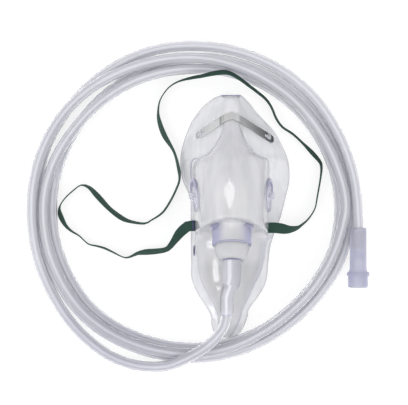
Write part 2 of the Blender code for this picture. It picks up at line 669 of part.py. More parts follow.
def clip_stations(path):
    """(distance, share of the full width) along the clip, which has round ends."""
    length = sum((after - point).length for (point, _), (after, _) in zip(path, path[1:]))
    radius = CLIP_WIDTH / 2
    angles = [math.pi / 2 * step / CLIP_ROUND_STEPS for step in range(1, CLIP_ROUND_STEPS)]
    ends = [(radius * (1 - math.cos(angle)), math.sin(angle)) for angle in angles]
    straight = length - CLIP_WIDTH
    middle = [(radius + straight * step / CLIP_STEPS, 1.0) for step in range(CLIP_STEPS + 1)]
    return ends + middle + [(length - distance, width) for distance, width in ends[::-1]]


def build_nose_clip(parts, tools):
    path = clip_path()
    stations = clip_stations(path)
    points = [point_along(path, distance) for distance, _ in stations]
    frames = []
    for index, ((point, normal), (_, width)) in enumerate(zip(points, stations)):
        before = points[max(index - 1, 0)][0]
        after = points[min(index + 1, len(points) - 1)][0]
        across = normal.cross((after - before).normalized()).normalized()
        frames.append((point, across * width, normal))
    clip = swept_band("nose_clip", frames, CLIP_WIDTH, CLIP_THICKNESS, parts)
    slots = []
    for points in (path, path[::-1]):
        low, normal = point_along(points, CLIP_SLOT_INSET - CLIP_SLOT_LENGTH / 2 + RIVET_RADIUS)
        high, _ = point_along(points, CLIP_SLOT_INSET + CLIP_SLOT_LENGTH / 2 - RIVET_RADIUS)
        along = (high - low).normalized()
        across = normal.cross(along).normalized()
        turn = Matrix((along, across, along.cross(across))).transposed().to_4x4()
        slot = bmesh.new()
        bmesh.ops.create_cube(slot, size=1.0)
        size = ((high - low).length, 2 * (RIVET_RADIUS + GAP), 4 * CLIP_THICKNESS)
        bmesh.ops.scale(slot, vec=size, verts=slot.verts)
        bmesh.ops.transform(
            slot, matrix=Matrix.Translation((low + high) / 2) @ turn, verts=slot.verts
        )
        data = bpy.data.meshes.new("clip_slot")
        slot.to_mesh(data)
        slot.free()
        slots.append(data)
    boolean(clip, join_tool("clip_slots", slots, tools), "DIFFERENCE")
    finish_part(clip)


def build_adapter(parts, tools):
    """A hollow cone with a plug for the collar and a nipple for the cuff."""
    mouth = COLLAR_LENGTH + GAP
    rim = mouth + ADAPTER_RIM_LENGTH
    tip = rim + ADAPTER_CONE_LENGTH
    plug = COLLAR_BORE - GAP
    bulge = ADAPTER_RIM_RADIUS - ADAPTER_TIP_RADIUS
    profile = (
        (NIPPLE_RADIUS, tip + NIPPLE_LENGTH),
        (NIPPLE_RADIUS, tip),
        (ADAPTER_TIP_RADIUS, tip),
        (ADAPTER_TIP_RADIUS + bulge * 0.5, tip - ADAPTER_CONE_LENGTH * 0.22),
        (ADAPTER_TIP_RADIUS + bulge * 0.85, tip - ADAPTER_CONE_LENGTH * 0.6),
        (ADAPTER_RIM_RADIUS, rim),
        (ADAPTER_RIM_RADIUS, mouth),
        (plug, mouth),
        (plug, mouth - ADAPTER_PLUG_LENGTH),
        (plug - ADAPTER_WALL, mouth - ADAPTER_PLUG_LENGTH),
        (plug - ADAPTER_WALL, rim),
        (ADAPTER_TIP_RADIUS - ADAPTER_WALL, tip - ADAPTER_WALL),
        (NIPPLE_BORE, tip - ADAPTER_WALL),
        (NIPPLE_BORE, tip + NIPPLE_LENGTH),
    )
    mesh = turned_mesh("tubing_adapter", profile, True, ROUND_STEPS, tools)
    mesh.transform(collar_frame())
    finish_part(new_object("tubing_adapter", mesh, parts))


def cuff_start():
    return COLLAR_LENGTH + 2 * GAP + ADAPTER_RIM_LENGTH + ADAPTER_CONE_LENGTH


def cuff_frame(distance):
    """The frame of the cuff's axis: straight on the nipple, then drooping with a sway."""
    frame = collar_frame()
    point = frame @ Vector((0, 0, cuff_start()))
    steps = 40
    pitch = COLLAR_TILT
    heading = Vector((0, 0, 0))
    for step in range(steps):
        middle = distance * (step + 0.5) / steps
        bent = max(0.0, middle - CUFF_STRAIGHT) / CUFF_BEND
        pitch = COLLAR_TILT + (CUFF_DROOP - COLLAR_TILT) * bent
        veer = CUFF_SWAY * math.sin(math.pi * min(1.0, bent / CUFF_SWAY_SHARE))
        heading = Vector((
            math.sin(veer) * math.cos(pitch), -math.cos(veer) * math.cos(pitch), math.sin(pitch)
        ))
        point = point + heading * (distance / steps)
    if distance <= 0:
        heading = Vector((0, -math.cos(COLLAR_TILT), math.sin(COLLAR_TILT)))
    return place_along(point, heading)


def build_cuff(parts, tools):
    """A stepped sleeve, turned straight and then bent along its drooping axis."""
    length = CUFF_LENGTH
    nipple_bore = NIPPLE_RADIUS + SLEEVE_FIT
    tube_bore = TUBE_RADIUS + SLEEVE_FIT
    shoulder = CUFF_WIDE_LENGTH + 2.0 * MM
    outer = [(CUFF_NARROW_RADIUS, length - (length - shoulder) * part / 4) for part in range(5)]
    waist = CUFF_RADIUS - CUFF_TAPER
    outer += [
        (waist + CUFF_TAPER * part / 6, CUFF_WIDE_LENGTH * (1 - part / 6)) for part in range(7)
    ]
    wide = length - CUFF_SOCKET
    inner = [(nipple_bore, wide * part / 5) for part in range(6)]
    inner += [(tube_bore, wide + CUFF_SOCKET * part / 4) for part in range(5)]
    mesh = turned_mesh("tube_cuff", outer + inner, True, FINE_STEPS, tools)
    for vertex in mesh.vertices:
        x, y, along = vertex.co
        vertex.co = cuff_frame(along) @ Vector((x, y, 0))
    finish_part(new_object("tube_cuff", mesh, parts))


def coil_point(angle, distance, height):
    turn = math.radians(angle)
    x = COIL_X + distance * math.cos(turn)
    y = COIL_Y - distance * math.sin(turn)
    return Vector((x, y, height))


def tube_knots():
    """The whole route as (angle, distance, height), the angle growing past full turns."""
    knots = list(LEAD)
    for turn, points in enumerate((TURN_1, TURN_2, TURN_3, TURN_4, TUBE_END)):
        knots += [(angle + 360 * turn, distance, height) for angle, distance, height in points]
    return [(angle, distance * MM, height * MM) for angle, distance, height in knots]


def between_knots(knots, angle):
    """The route's smooth distance and height at an angle."""
    last = len(knots) - 2
    index = 0
    while index < last and knots[index + 1][0] < angle:
        index += 1
    first, second = knots[index], knots[index + 1]
    before = knots[max(index - 1, 0)]
    after = knots[min(index + 2, len(knots) - 1)]
    span = second[0] - first[0]
    share = (angle - first[0]) / span
    values = []
    for item in (1, 2):
        slope_in = (second[item] - before[item]) / (second[0] - before[0]) * span
        slope_out = (after[item] - first[item]) / (after[0] - first[0]) * span
        square, cube = share ** 2, share ** 3
        values.append(
            first[item] * (2 * cube - 3 * square + 1)
            + slope_in * (cube - 2 * square + share)
            + second[item] * (3 * square - 2 * cube)
            + slope_out * (cube - square)
        )
    return values


def tube_route():
    knots = tube_knots()
    start = [cuff_frame(CUFF_LENGTH - CUFF_SOCKET / 2).translation]
    start.append(cuff_frame(CUFF_LENGTH).translation)
    angles = [knot[0] for knot in LEAD]
    angle = COIL_START
    while angle < knots[-1][0]:
        angles.append(angle)
        angle += TURN_STEP
    route = start + [coil_point(angle, *between_knots(knots, angle)) for angle in angles]
    axis_start, axis = connector_axis()
    route.append(axis_start)
    route.append(axis_start + axis * (CONNECTOR_SOCKET - GAP))
    return route


def build_tube(parts):
    """One length of tubing, with both ends inside their sleeves."""
    curve = bpy.data.curves.new("oxygen_tube", "CURVE")
    curve.dimensions = "3D"
    curve.bevel_depth = TUBE_RADIUS
    curve.bevel_resolution = 2
    curve.use_fill_caps = True
    route = tube_route()
    spline = curve.splines.new("POLY")
    spline.points.add(len(route) - 1)
    for target, point in zip(spline.points, route):
        target.co = (*point, 1.0)
    finish_part(new_object("oxygen_tube", curve, parts))


def connector_axis():
    plan = math.sqrt(CONNECTOR_LENGTH ** 2 - CONNECTOR_DROP ** 2)
    axis = Vector((0.0, -plan, -CONNECTOR_DROP)).normalized()
    return CONNECTOR_START, axis


def build_connector(parts, tools):
    """The stepped connector at the free end: body, ring and mouth, with a stepped bore."""
    length = CONNECTOR_LENGTH
    ring_high = length - CONNECTOR_MOUTH_LENGTH
    ring_low = ring_high - CONNECTOR_RING_LENGTH
    socket = TUBE_RADIUS + SLEEVE_FIT
    profile = (
        (CONNECTOR_MOUTH_RADIUS, length),
        (CONNECTOR_MOUTH_RADIUS, ring_high),
        (CONNECTOR_RING_RADIUS, ring_high),
        (CONNECTOR_RING_RADIUS, ring_low),
        (CONNECTOR_BODY_RADIUS * 1.04, ring_low),
        (CONNECTOR_BODY_RADIUS, 0.0),
        (socket, 0.0),
        (socket, CONNECTOR_SOCKET),
        (NIPPLE_BORE, CONNECTOR_SOCKET + 1.0 * MM),
        (NIPPLE_BORE, CONNECTOR_SOCKET + 3.0 * MM),
        (CONNECTOR_BORE, CONNECTOR_SOCKET + 5.0 * MM),
        (CONNECTOR_BORE, length),
    )
    mesh = turned_mesh("supply_connector", profile, True, FINE_STEPS, tools)
    start, axis = connector_axis()
    mesh.transform(place_along(start, axis))
    finish_part(new_object("supply_connector", mesh, parts))


def smooth_route(points, step):
    """Points about a step apart on a smooth curve through the given ones."""
    route = []
    last = len(points) - 1
    for index in range(last):
        rows = [points[min(max(index + move, 0), last)] for move in (-1, 0, 1, 2)]
        length = math.dist(rows[1][:3], rows[2][:3])
        count = max(1, round(length / step))
        for part in range(count):
            route.append([smooth_value(*values, part / count) for values in zip(*rows)])
    route.append(list(points[-1]))
    return route


def build_strap(parts):
    points = [(x * MM, y * MM, z * MM, math.radians(lean)) for x, y, z, lean in STRAP_ROUTE]
    route = smooth_route(points, STRAP_STEP)
    frames = []
    for index, (x, y, z, lean) in enumerate(route):
        before = Vector(route[max(index - 1, 0)][:3])
        after = Vector(route[min(index + 1, len(route) - 1)][:3])
        along = (after - before).normalized()
        level = Vector((along.y, -along.x, 0.0)).normalized()
        turn = Quaternion(along, lean)
        upright = along.cross(level) * -1.0
        across = turn @ upright
        frames.append((Vector((x, y, z)), across, along.cross(across)))
    strap = swept_band("elastic_strap", frames, STRAP_WIDTH, STRAP_THICKNESS, parts)
    finish_part(strap)


def main():
    clear_scene()
    parts = new_collection("oxygen_face_mask")
    tools = new_collection("tools")
    build_mask_shell(parts, tools)
    build_nose_clip(parts, tools)
    build_adapter(parts, tools)
    build_cuff(parts, tools)
    build_tube(parts)
    build_connector(parts, tools)
    build_strap(parts)


main()
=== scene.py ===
"""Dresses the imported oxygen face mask: clear plastics, tubing, elastic, light and camera."""

import math

import bmesh
import bpy
from mathutils import Matrix, Quaternion, Vector


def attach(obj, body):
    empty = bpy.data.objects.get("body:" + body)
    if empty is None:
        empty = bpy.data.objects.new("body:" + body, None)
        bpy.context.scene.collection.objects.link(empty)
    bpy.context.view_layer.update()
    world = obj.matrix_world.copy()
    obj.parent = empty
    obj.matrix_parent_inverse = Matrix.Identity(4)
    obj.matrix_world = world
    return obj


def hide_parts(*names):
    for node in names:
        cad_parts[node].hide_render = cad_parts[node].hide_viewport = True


MM = 0.001

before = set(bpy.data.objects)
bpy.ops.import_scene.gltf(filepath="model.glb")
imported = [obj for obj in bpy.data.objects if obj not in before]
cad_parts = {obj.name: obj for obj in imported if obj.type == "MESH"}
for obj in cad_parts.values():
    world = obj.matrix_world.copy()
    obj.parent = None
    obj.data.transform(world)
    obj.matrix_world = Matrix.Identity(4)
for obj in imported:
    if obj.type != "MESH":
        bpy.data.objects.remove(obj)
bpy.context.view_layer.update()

# The tubing's route round the middle of its coil, as in the CAD: angle in degrees clockwise
# from +X as seen from above, distance from the middle and height, in millimetres. A point of a
# turn that has no height rests on the surface.
COIL_X = -23.9 * MM
COIL_Y = 7.0 * MM
LEAD = (
    (73.8, 66.5, 34.3), (76.1, 72.5, 27.2), (78.6, 76.3, 22.4), (81.6, 80.0, 18.6),
    (85.2, 83.9, 16.4), (89.4, 87.7, 15.4), (94.5, 92.3, 13.6), (100.0, 97.3, 8.6),
)
TURN_1 = (
    (110, 102.0, 3.9), (120, 103.6), (135, 102.3), (150, 100.1, 4.2), (165, 98.5, 7.5),
    (180, 97.3, 8.5), (195, 96.7, 9.3), (210, 95.7, 9.5), (220, 94.5, 9.5), (230, 92.8, 9.1),
    (240, 90.9, 8.7), (250, 89.4, 9.0), (260, 88.3, 9.4), (270, 87.6, 9.5), (285, 86.5, 9.3),
    (300, 85.6, 9.0), (315, 85.7, 9.2), (330, 86.1, 9.3), (345, 87.5, 9.2),
)
TURN_2 = (
    (0, 89.8, 8.6), (8, 88.6, 9.2), (20, 87.2, 9.5), (35, 85.8, 9.5), (50, 85.0, 9.5),
    (65, 85.9, 9.3), (75, 87.1, 9.1), (90, 88.3, 8.8), (110, 89.8, 8.9), (122, 91.0, 9.0),
    (135, 91.9, 9.0), (150, 91.5, 9.0), (165, 91.0, 9.0), (180, 90.2, 8.3), (188, 89.4, 7.9),
    (196, 88.0, 8.6), (204, 86.4, 9.4), (212, 84.9, 9.6), (222, 83.7, 9.5), (230, 83.0, 9.1),
    (240, 82.3, 8.7), (250, 81.7, 7.9), (260, 81.4, 6.2), (270, 81.4, 4.2), (285, 81.9),
    (300, 82.8), (315, 83.5), (330, 84.3), (345, 85.4),
)
TURN_3 = (
    (0, 86.3), (8, 86.6), (20, 86.6), (35, 85.3), (50, 84.5), (65, 84.7), (75, 85.0), (90, 85.3),
    (110, 86.0), (122, 86.9), (135, 87.6), (150, 86.7), (165, 86.2), (180, 85.6), (196, 84.8),
    (212, 84.6), (222, 84.8), (230, 85.0), (240, 85.4), (250, 86.3), (260, 87.3), (270, 87.9),
    (285, 88.5), (300, 89.1), (315, 89.7), (330, 90.7), (345, 91.8),
)
TURN_4 = (
    (0, 93.2), (8, 93.3), (20, 92.9), (35, 91.6), (50, 90.8), (65, 90.9), (75, 91.2), (90, 91.5),
    (110, 92.4), (122, 93.4), (135, 94.2), (150, 93.8), (165, 93.5), (180, 93.9), (188, 94.8),
    (200, 95.5), (215, 95.3), (225, 95.4), (240, 95.6), (255, 95.7), (270, 95.1), (285, 95.2),
    (300, 95.5, 3.8), (315, 95.6, 6.1), (330, 95.2, 7.7), (345, 95.6, 8.4),
)
TUBE_END = ((0, 96.6, 8.9), (4, 97.3, 9.2), (8, 98.2, 9.4), (15.5, 100.9, 8.4))
TUBE_REST = 3.2
# The steps between its drawn points in degrees, finer up to the end of the lead.
LEAD_LAST = 104
LEAD_STEP = 1.0
TURN_STEP = 3.0
# Before the lead, it lies in the cuff: places along the cuff's axis, in millimetres.
TUBE_IN_CUFF = (7.9, 11, 14, 18, 22, 26, 29, 31.5)
TUBE_RADIUS = 3.1 * MM
TUBE_BORE = 2.0 * MM
TUBE_SIDES = 32
BORE_RIBS = 5
BORE_RIB_SHARE = 0.09

# The strap's route: x, y and height of its middle line in millimetres, and its lean in
# degrees, from 0 on edge to 90 lying flat.
STRAP_ROUTE = (
    (-22.2, -5.4, 9.2, 90), (-24, -5.4, 9.2, 90), (-25.8, -5.4, 9.2, 90), (-28.4, -5.8, 9, 84),
    (-30.7, -7.6, 8.4, 72), (-33.3, -10.3, 7.4, 60), (-36.7, -15.1, 5.6, 36),
    (-40.7, -19.4, 4.2, 27), (-47, -20.7, 3.6, 30), (-53.5, -21.2, 3.5, 31),
    (-58.3, -22, 3.4, 17), (-62.1, -23.8, 3.3, 8), (-65.3, -24.6, 3.3, 4), (-68.5, -23.6, 3.3, 3),
    (-73, -21.3, 3.3, 7), (-78.3, -18.8, 3.3, 9), (-83.5, -17.4, 3.3, 6), (-87.9, -16.3, 3.3, 4),
    (-93.2, -11.5, 3.3, 5), (-97.9, -8.6, 3.3, 10), (-101.5, -5.1, 3.4, 20),
    (-104.2, 0.1, 3.4, 29), (-105.1, 3.6, 3.3, 19), (-104.5, 6.9, 3.3, 5), (-101.3, 11.5, 3.3, 4),
    (-96, 16.3, 3.3, 4), (-92, 18.9, 3.3, 3), (-87.3, 17.5, 3.4, 14), (-81.9, 12, 3.5, 27),
    (-75.3, 4.9, 3.5, 21), (-68, -0.7, 3.5, 23), (-62.3, -3, 3.4, 13), (-54.2, -4.1, 3.3, 6),
    (-50.2, -2.2, 3.3, 3), (-43.4, 2.4, 3.3, 7), (-38.5, 9.6, 3.3, 7), (-34.9, 17, 3.3, 7),
    (-33.2, 22.3, 3.3, 8), (-33.7, 28.6, 3.3, 15), (-36.5, 38.8, 3.3, 10), (-42.2, 48.5, 3.4, 26),
    (-45.2, 56.6, 3.4, 21), (-46, 62.9, 3.3, 8), (-44.6, 70.2, 3.3, 3), (-39.7, 77.2, 3.3, 4),
    (-33.2, 81.1, 3.7, 8), (-25.3, 83, 6.2, 18), (-20.3, 83.7, 9, 20), (-14.7, 84.9, 10.5, 25),
    (-7.6, 85.9, 10.5, 28), (-2.8, 85.2, 10.5, 23), (3.1, 81.8, 10.4, 20), (8.3, 78, 8.6, 17),
    (12.8, 74.8, 6.2, 16), (18.5, 70.2, 4, 14), (22, 65.1, 3.3, 11), (24.7, 58.7, 3.3, 11),
    (28.4, 53.6, 3.3, 11), (34.5, 49.5, 3.3, 11), (40.3, 44.2, 3.3, 12), (46.1, 38.3, 3.4, 24),
    (50.6, 33.1, 3.4, 19), (51.7, 30, 3.3, 14), (51.3, 23.8, 3.3, 8), (49.4, 12.7, 3.3, 6),
    (47.8, 4.8, 3.3, 4), (43.9, -1.4, 3.4, 6), (39.9, -5, 3.9, 11), (36.9, -7, 5, 22),
    (32, -7.8, 7.4, 46), (27.2, -7, 8.9, 78), (23.5, -6.6, 9.2, 88), (20.3, -6.6, 9.2, 90),
    (18.2, -6.6, 9.2, 90),
)
STRAP_WIDTH = 6.3 * MM
STRAP_THICKNESS = 0.7 * MM

# The moulding's sections, as in the CAD. Each row gives, in millimetres: the place along Y of
# the crown, of the root of the dome and of the rim; the places along X of the left rim, left
# root, crown, right root and right rim; the heights of the rim, root and crown; the fullness.
SECTIONS = (
    (72.3, 72.3, 72.3, -8.8, -6.2, -2.5, 1.2, 3.7, 7.0, 8.6, 9.6, 1.0),
    (71.4, 71.3, 71.2, -11.8, -7.2, -2.5, 2.2, 5.3, 6.2, 11.4, 13.2, 1.0),
    (69.4, 69.2, 69.0, -15.2, -7.4, -2.5, 2.4, 7.4, 5.0, 13.8, 16.8, 1.0),
    (66.0, 66.0, 66.0, -19.1, -7.6, -2.5, 2.6, 10.2, 3.6, 16.4, 20.0, 1.0),
    (62.0, 62.0, 62.0, -22.3, -7.6, -2.5, 2.6, 13.3, 2.4, 19.0, 22.9, 1.1),
    (57.0, 57.0, 57.0, -25.8, -7.4, -2.5, 2.6, 18.2, 1.6, 21.2, 25.9, 1.25),
    (52.0, 52.0, 52.0, -28.1, -7.8, -2.5, 3.6, 22.7, 1.2, 22.2, 28.7, 1.45),
    (47.0, 47.0, 47.0, -30.0, -9.8, -2.5, 5.6, 26.0, 1.0, 20.8, 31.4, 1.65),
    (42.0, 42.0, 42.0, -31.5, -13.0, -2.5, 8.6, 28.5, 1.0, 17.6, 33.8, 1.85),
    (38.0, 38.0, 38.0, -32.3, -16.9, -2.5, 12.6, 30.4, 1.0, 13.8, 35.6, 2.05),
    (34.5, 34.5, 34.5, -32.7, -22.0, -2.4, 19.4, 31.6, 1.0, 10.0, 37.1, 2.2),
    (31.0, 31.0, 31.0, -32.7, -25.0, -2.4, 20.8, 32.3, 1.0, 6.8, 38.5, 2.4),
    (26.0, 26.0, 26.0, -32.3, -25.5, -2.3, 20.8, 32.7, 1.0, 4.6, 40.2, 2.5),
    (20.0, 20.0, 20.0, -30.7, -25.4, -2.3, 20.8, 32.4, 1.0, 3.4, 42.0, 2.5),
    (14.0, 13.8, 14.0, -27.9, -24.8, -2.3, 20.6, 31.0, 1.0, 2.8, 43.4, 2.5),
    (9.0, 7.8, 9.0, -26.6, -24.4, -2.3, 20.5, 29.8, 1.0, 2.4, 44.5, 2.5),
    (4.4, 1.4, 3.8, -26.5, -24.2, -2.3, 20.3, 28.5, 1.0, 2.2, 45.4, 2.5),
    (1.0, -4.0, -0.8, -26.5, -24.1, -2.3, 20.2, 27.2, 1.0, 2.0, 45.8, 2.5),
    (-0.8, -6.8, -4.2, -26.5, -24.0, -2.3, 20.1, 26.0, 1.0, 2.0, 45.0, 2.5),
    (-2.2, -8.2, -6.2, -26.4, -24.0, -2.3, 20.0, 25.2, 1.0, 1.9, 42.4, 2.5),
    (-4.6, -9.5, -8.0, -26.4, -24.0, -2.3, 19.9, 24.4, 1.0, 1.9, 32.5, 2.5),
    (-7.2, -10.8, -9.8, -26.4, -23.9, -2.3, 19.8, 23.7, 1.0, 1.8, 22.4, 2.4),
    (-8.9, -12.0, -11.5, -26.4, -23.9, -2.3, 19.7, 23.1, 1.0, 1.8, 18.9, 2.3),
    (-12.4, -14.2, -14.0, -26.4, -23.8, -2.4, 19.4, 22.3, 1.0, 1.8, 17.3, 2.2),
    (-18.6, -19.0, -19.0, -26.3, -23.6, -2.5, 18.6, 21.0, 1.0, 1.8, 16.6, 2.2),
    (-28.0, -28.0, -28.0, -26.2, -22.9, -2.7, 17.3, 20.0, 1.0, 1.8, 15.6, 2.1),
    (-35.5, -35.5, -35.5, -26.2, -21.8, -2.9, 15.0, 19.3, 1.0, 1.8, 14.6, 2.1),
    (-41.5, -41.5, -41.5, -24.6, -19.4, -3.2, 12.0, 17.7, 1.0, 1.8, 13.6, 2.0),
    (-47.5, -47.5, -47.5, -21.5, -16.4, -3.5, 9.2, 14.1, 1.0, 1.8, 12.4, 2.0),
    (-52.5, -52.5, -52.5, -18.2, -13.4, -3.8, 6.6, 10.4, 1.0, 1.8, 11.2, 2.0),
    (-56.5, -56.5, -56.5, -15.8, -11.7, -4.0, 4.8, 8.0, 1.0, 1.8, 10.3, 2.0),
    (-60.0, -60.0, -60.0, -14.3, -10.9, -4.2, 4.0, 7.6, 1.0, 1.8, 9.4, 2.0),
    (-65.0, -65.0, -65.0, -14.0, -10.1, -4.4, 2.2, 5.8, 1.0, 1.7, 7.8, 2.0),
    (-69.0, -69.0, -69.0, -12.7, -8.8, -4.6, -0.4, 3.4, 1.0, 1.5, 5.2, 2.0),
    (-71.3, -71.3, -71.3, -10.2, -7.4, -4.7, -1.9, 0.8, 1.0, 1.2, 2.2, 2.0),
    (-72.6, -72.5, -72.2, -8.2, -6.6, -4.8, -3.0, -1.4, 1.0, 1.1, 1.3, 2.0),
)
WALL = 1.0 * MM
RIM_LIP = 1.2 * MM
RIM_LOWEST = 0.95 * MM
RIM_SHARE = 0.94
ROOT_SHARE = 0.72
LIP_FADE_ROWS = 4
BOW_POWER = 1.6
SUB_ROWS = 6
ARCH_STEPS = 26
FLANK_STEPS = 7

# The round pieces, as in the CAD: lengths, distances from an axis and heights along it in
# millimetres, places and directions in the row frame.
COLLAR_START = Vector((-2.3, -4.6, 32.5)) * MM
COLLAR_TILT = math.radians(15)
COLLAR_LENGTH = 12.3
COLLAR_RADIUS = 11.5
COLLAR_BORE = 9.7
COLLAR_SIDES = 96
CUFF_LENGTH = 31.4
CUFF_STRAIGHT = 9.0
CUFF_BEND = 24.8
CUFF_DROOP = math.radians(-45)
CUFF_SWAY = math.radians(-19.5)
CUFF_SWAY_SHARE = 0.6
CUFF_START = 21.7
CUFF_STEP = 14.6
CUFF_SIDES = 48
CONNECTOR_START = Vector((73.3, -6.7, 9.4)) * MM
CONNECTOR_AXIS = Vector((0.0, -0.99707, -0.07649)).normalized()
VENT_PLACES = (
    ((-23.7, 12.6, 19.0), (-0.975, -0.0693, 0.20)),
    ((19.6, 12.6, 19.0), (0.977, -0.0131, 0.20)),
)
VENT_HOLES = 6
VENT_HOLE_REACH = 5.6
VENT_HOLE_RADIUS = 1.2
RIVET_PLACES = (
    ("rivet_left", (-20.0, 49.58, 10.87), (-0.719, 0.179, 0.671)),
    ("rivet_right", (19.56, 47.52, 7.54), (0.691, 0.284, 0.665)),
)

# Where the moulding's fine surface is left open, in millimetres: the radius of the openings for
# the collar and the vents and their reach along the axis; the strap slots' places and half sizes.
COLLAR_OPENING = (10.4, 6.0)
VENT_OPENING = (9.0, 3.0)
SLOT_PLACES = ((-23.96, -5.4, 9.2), (20.01, -6.6, 9.2))
SLOT_REACH = (3.0, 4.2, 1.3)

# Details of the moulding that the photo shows, in millimetres.
FLANK_LINE = (
    (-21.2, 34.9, 10.7), (-22.6, 34.8, 9.6), (-24.2, 34.5, 8.1), (-25.3, 33.7, 7.1),
    (-26.0, 32.2, 6.2), (-26.3, 30.0, 5.4), (-26.4, 26.0, 4.2), (-26.2, 21.3, 3.4),
)
NOSE_LIP_SIZE = (11.8, 1.0, 1.8)
NOSE_LIP_PLACE = (-2.5, 72.0, 9.6)
BEAD_SIDES = 10
BEAD_TIP = 0.25
BEAD_SWELL = 0.6

# The shades of the pieces. Each mark is a place from 0 to 1 along what the ramp runs over, and
# the grey or the colour there.
# The moulding: by depth, from its flange to its crown and chin, as painted shade of the dark hollow
# under it; across the chin and the whole moulding, from the left rim to the right one, as painted
# shade in the chin's root creases and along the rim's edge; below the clip; and in fine streaks.
SHELL_PAINTED_DEPTH_SHADE = ((0.0, 1.0), (0.12, 0.98), (0.36, 0.91), (0.56, 0.83), (0.8, 0.82), (1.0, 0.63))
# Painted shade in darker bands along the chin's root creases.
CHIN_ROOT_PAINTED_SHADE = (
    (0.0, 1.0), (0.14, (0.94, 0.94, 0.96)), (0.22, 1.0), (0.68, 1.0), (0.78, (0.87, 0.87, 0.92)),
    (0.85, (0.97, 0.97, 0.98)), (0.88, 1.0), (1.0, 1.0),
)
# Painted shade along the rim's outer edge, where the wall is seen edge-on.
RIM_EDGE_PAINTED_SHADE = (
    (0.0, (0.6, 0.6, 0.63)), (0.012, (0.94, 0.94, 0.95)), (0.03, 1.0),
    (0.97, 1.0), (0.988, (0.94, 0.94, 0.95)), (1.0, (0.6, 0.6, 0.63)),
)
RIDGE_SHADES = ((0.0, 1.0), (1.0, (0.90, 0.90, 0.915)))
FAN_SHADES = ((0.38, (0.965, 0.965, 0.97)), (0.6, 1.0))
# The collar, the tubing and the cuff: from their left side to their right side. The collar's violet
# is deepened by painted shade at its sides. The lines along the tubing and the cuff are a painted
# highlight and painted shade, lighter or darker, and more or less clear.
COLLAR_SIDE_PAINTED_SHADE = (
    (0.0, (0.72, 0.72, 0.93)), (0.08, (0.79, 0.79, 0.95)), (0.22, (0.93, 0.93, 0.98)),
    (0.35, 1.0), (0.65, 1.0), (0.78, (0.94, 0.94, 0.98)),
    (0.92, (0.82, 0.82, 0.96)), (1.0, (0.74, 0.74, 0.94)),
)
# Painted highlight along the tubing's top and painted shade at its sides and edges.
TUBE_HIGHLIGHT_AND_SHADE = (
    (0.0, 0.82), (0.05, 0.95), (0.12, 0.92), (0.22, 0.95), (0.31, 0.89), (0.41, 0.95),
    (0.58, 0.95), (0.68, 0.89), (0.77, 0.87), (0.85, 0.94), (0.91, 0.92), (0.95, 0.95), (1.0, 0.82),
)
TUBE_CLEAR = (
    (0.0, 0.6), (0.05, 0.7), (0.15, 0.6), (0.32, 0.6), (0.43, 0.44), (0.56, 0.44), (0.67, 0.6),
    (0.85, 0.6), (0.95, 0.7), (1.0, 0.6),
)
# Painted highlight along the cuff and painted shade at its sides.
CUFF_HIGHLIGHT_AND_SHADE = (
    (0.0, 0.62), (0.11, 0.68), (0.18, 0.91), (0.36, 0.94), (0.42, 0.98), (0.54, 0.98),
    (0.60, 0.95), (0.74, 0.89), (0.80, 0.94), (0.90, 0.84), (1.0, 0.74),
)
CUFF_CLEAR = (
    (0.0, 0.6), (0.08, 0.62), (0.36, 0.62), (0.42, 0.4), (0.54, 0.4), (0.60, 0.62), (0.92, 0.62),
    (1.0, 0.6),
)
# How far the cuff's painted highlight and shade move across where it is wide.
CUFF_LINE_SHIFT = 0.24
LINE_TINT = (0.95, 0.95, 1.0)
# Painted shade on the tubing where its strands lie closest together, at the coil's near left.
NEAR_LEFT_PAINTED_SHADE = ((0.0, 1.0), (1.0, (0.88, 0.88, 0.91)))
# The nose clip's painted reflection, from its lighter left end to its darker right end, with
# painted shade along its fold.
CLIP_PAINTED_REFLECTION = (
    (0.0, (0.92, 0.92, 0.90)), (0.30, 0.82), (0.315, 0.34), (0.33, 0.62), (0.5, 0.64), (0.7, 0.5),
    (0.88, 0.3), (1.0, (0.20, 0.22, 0.24)),
)
CLIP_REACH = 24.0 * MM

# Outlines of the windows in metres, each shaped so that the curved moulding mirrors it as the
# straight-sided patches of light on its crest and on the left of its chin.
CREST_WINDOW = ((
    (-0.24, -0.20), (-0.29, -0.07), (-0.34, 0.06), (-0.45, 0.13), (-0.36, 0.13), (-0.25, 0.16),
    (-0.05, 0.23), (0.06, 0.08), (0.18, -0.01), (0.39, -0.10), (0.11, -0.05), (-0.10, -0.11),
),)
SIDE_WINDOW = (
    (
        (-0.11, -0.30), (0.0, -0.01), (0.06, 0.12), (0.20, 0.10), (0.32, 0.03), (0.30, -0.16),
        (0.24, -0.56), (0.04, -0.42), (-0.12, -0.33),
    ),
    ((-0.14, 0.04), (-0.06, 0.01), (-0.40, -0.83), (-0.51, -0.79)),
)
FLOOR_REACH = 3.0
FLOOR_DROP = 0.0002

# The camera looks straight down on the middle of the picture, whose width is measured on the
# surface, in metres.
CAMERA_PLACE = (-18.54 * MM, 8.46 * MM, 1.2)
PICTURE_WIDTH = 244.8 * MM
SENSOR_WIDTH = 36.0


def new_object(name, data):
    obj = bpy.data.objects.new(name, data)
    bpy.context.scene.collection.objects.link(obj)
    return obj


def new_mesh(name, verts, faces):
    mesh = bpy.data.meshes.new(name)
    mesh.from_pydata(verts, [], faces)
    return mesh


def store_values(mesh, name, values):
    """Keeps a number for each corner point of the mesh, for its material to read."""
    mesh.attributes.new(name, "FLOAT", "POINT").data.foreach_set("value", values)


def straight(first, last, steps):
    """Points at even steps from the first to the last."""
    return [
        tuple(a + (b - a) * step / steps for a, b in zip(first, last)) for step in range(steps + 1)
    ]


def smooth_value(before, first, second, after, share):
    return 0.5 * (
        2 * first
        + (second - before) * share
        + (2 * before - 5 * first + 4 * second - after) * share ** 2
        + (3 * first - before - 3 * second + after) * share ** 3
    )


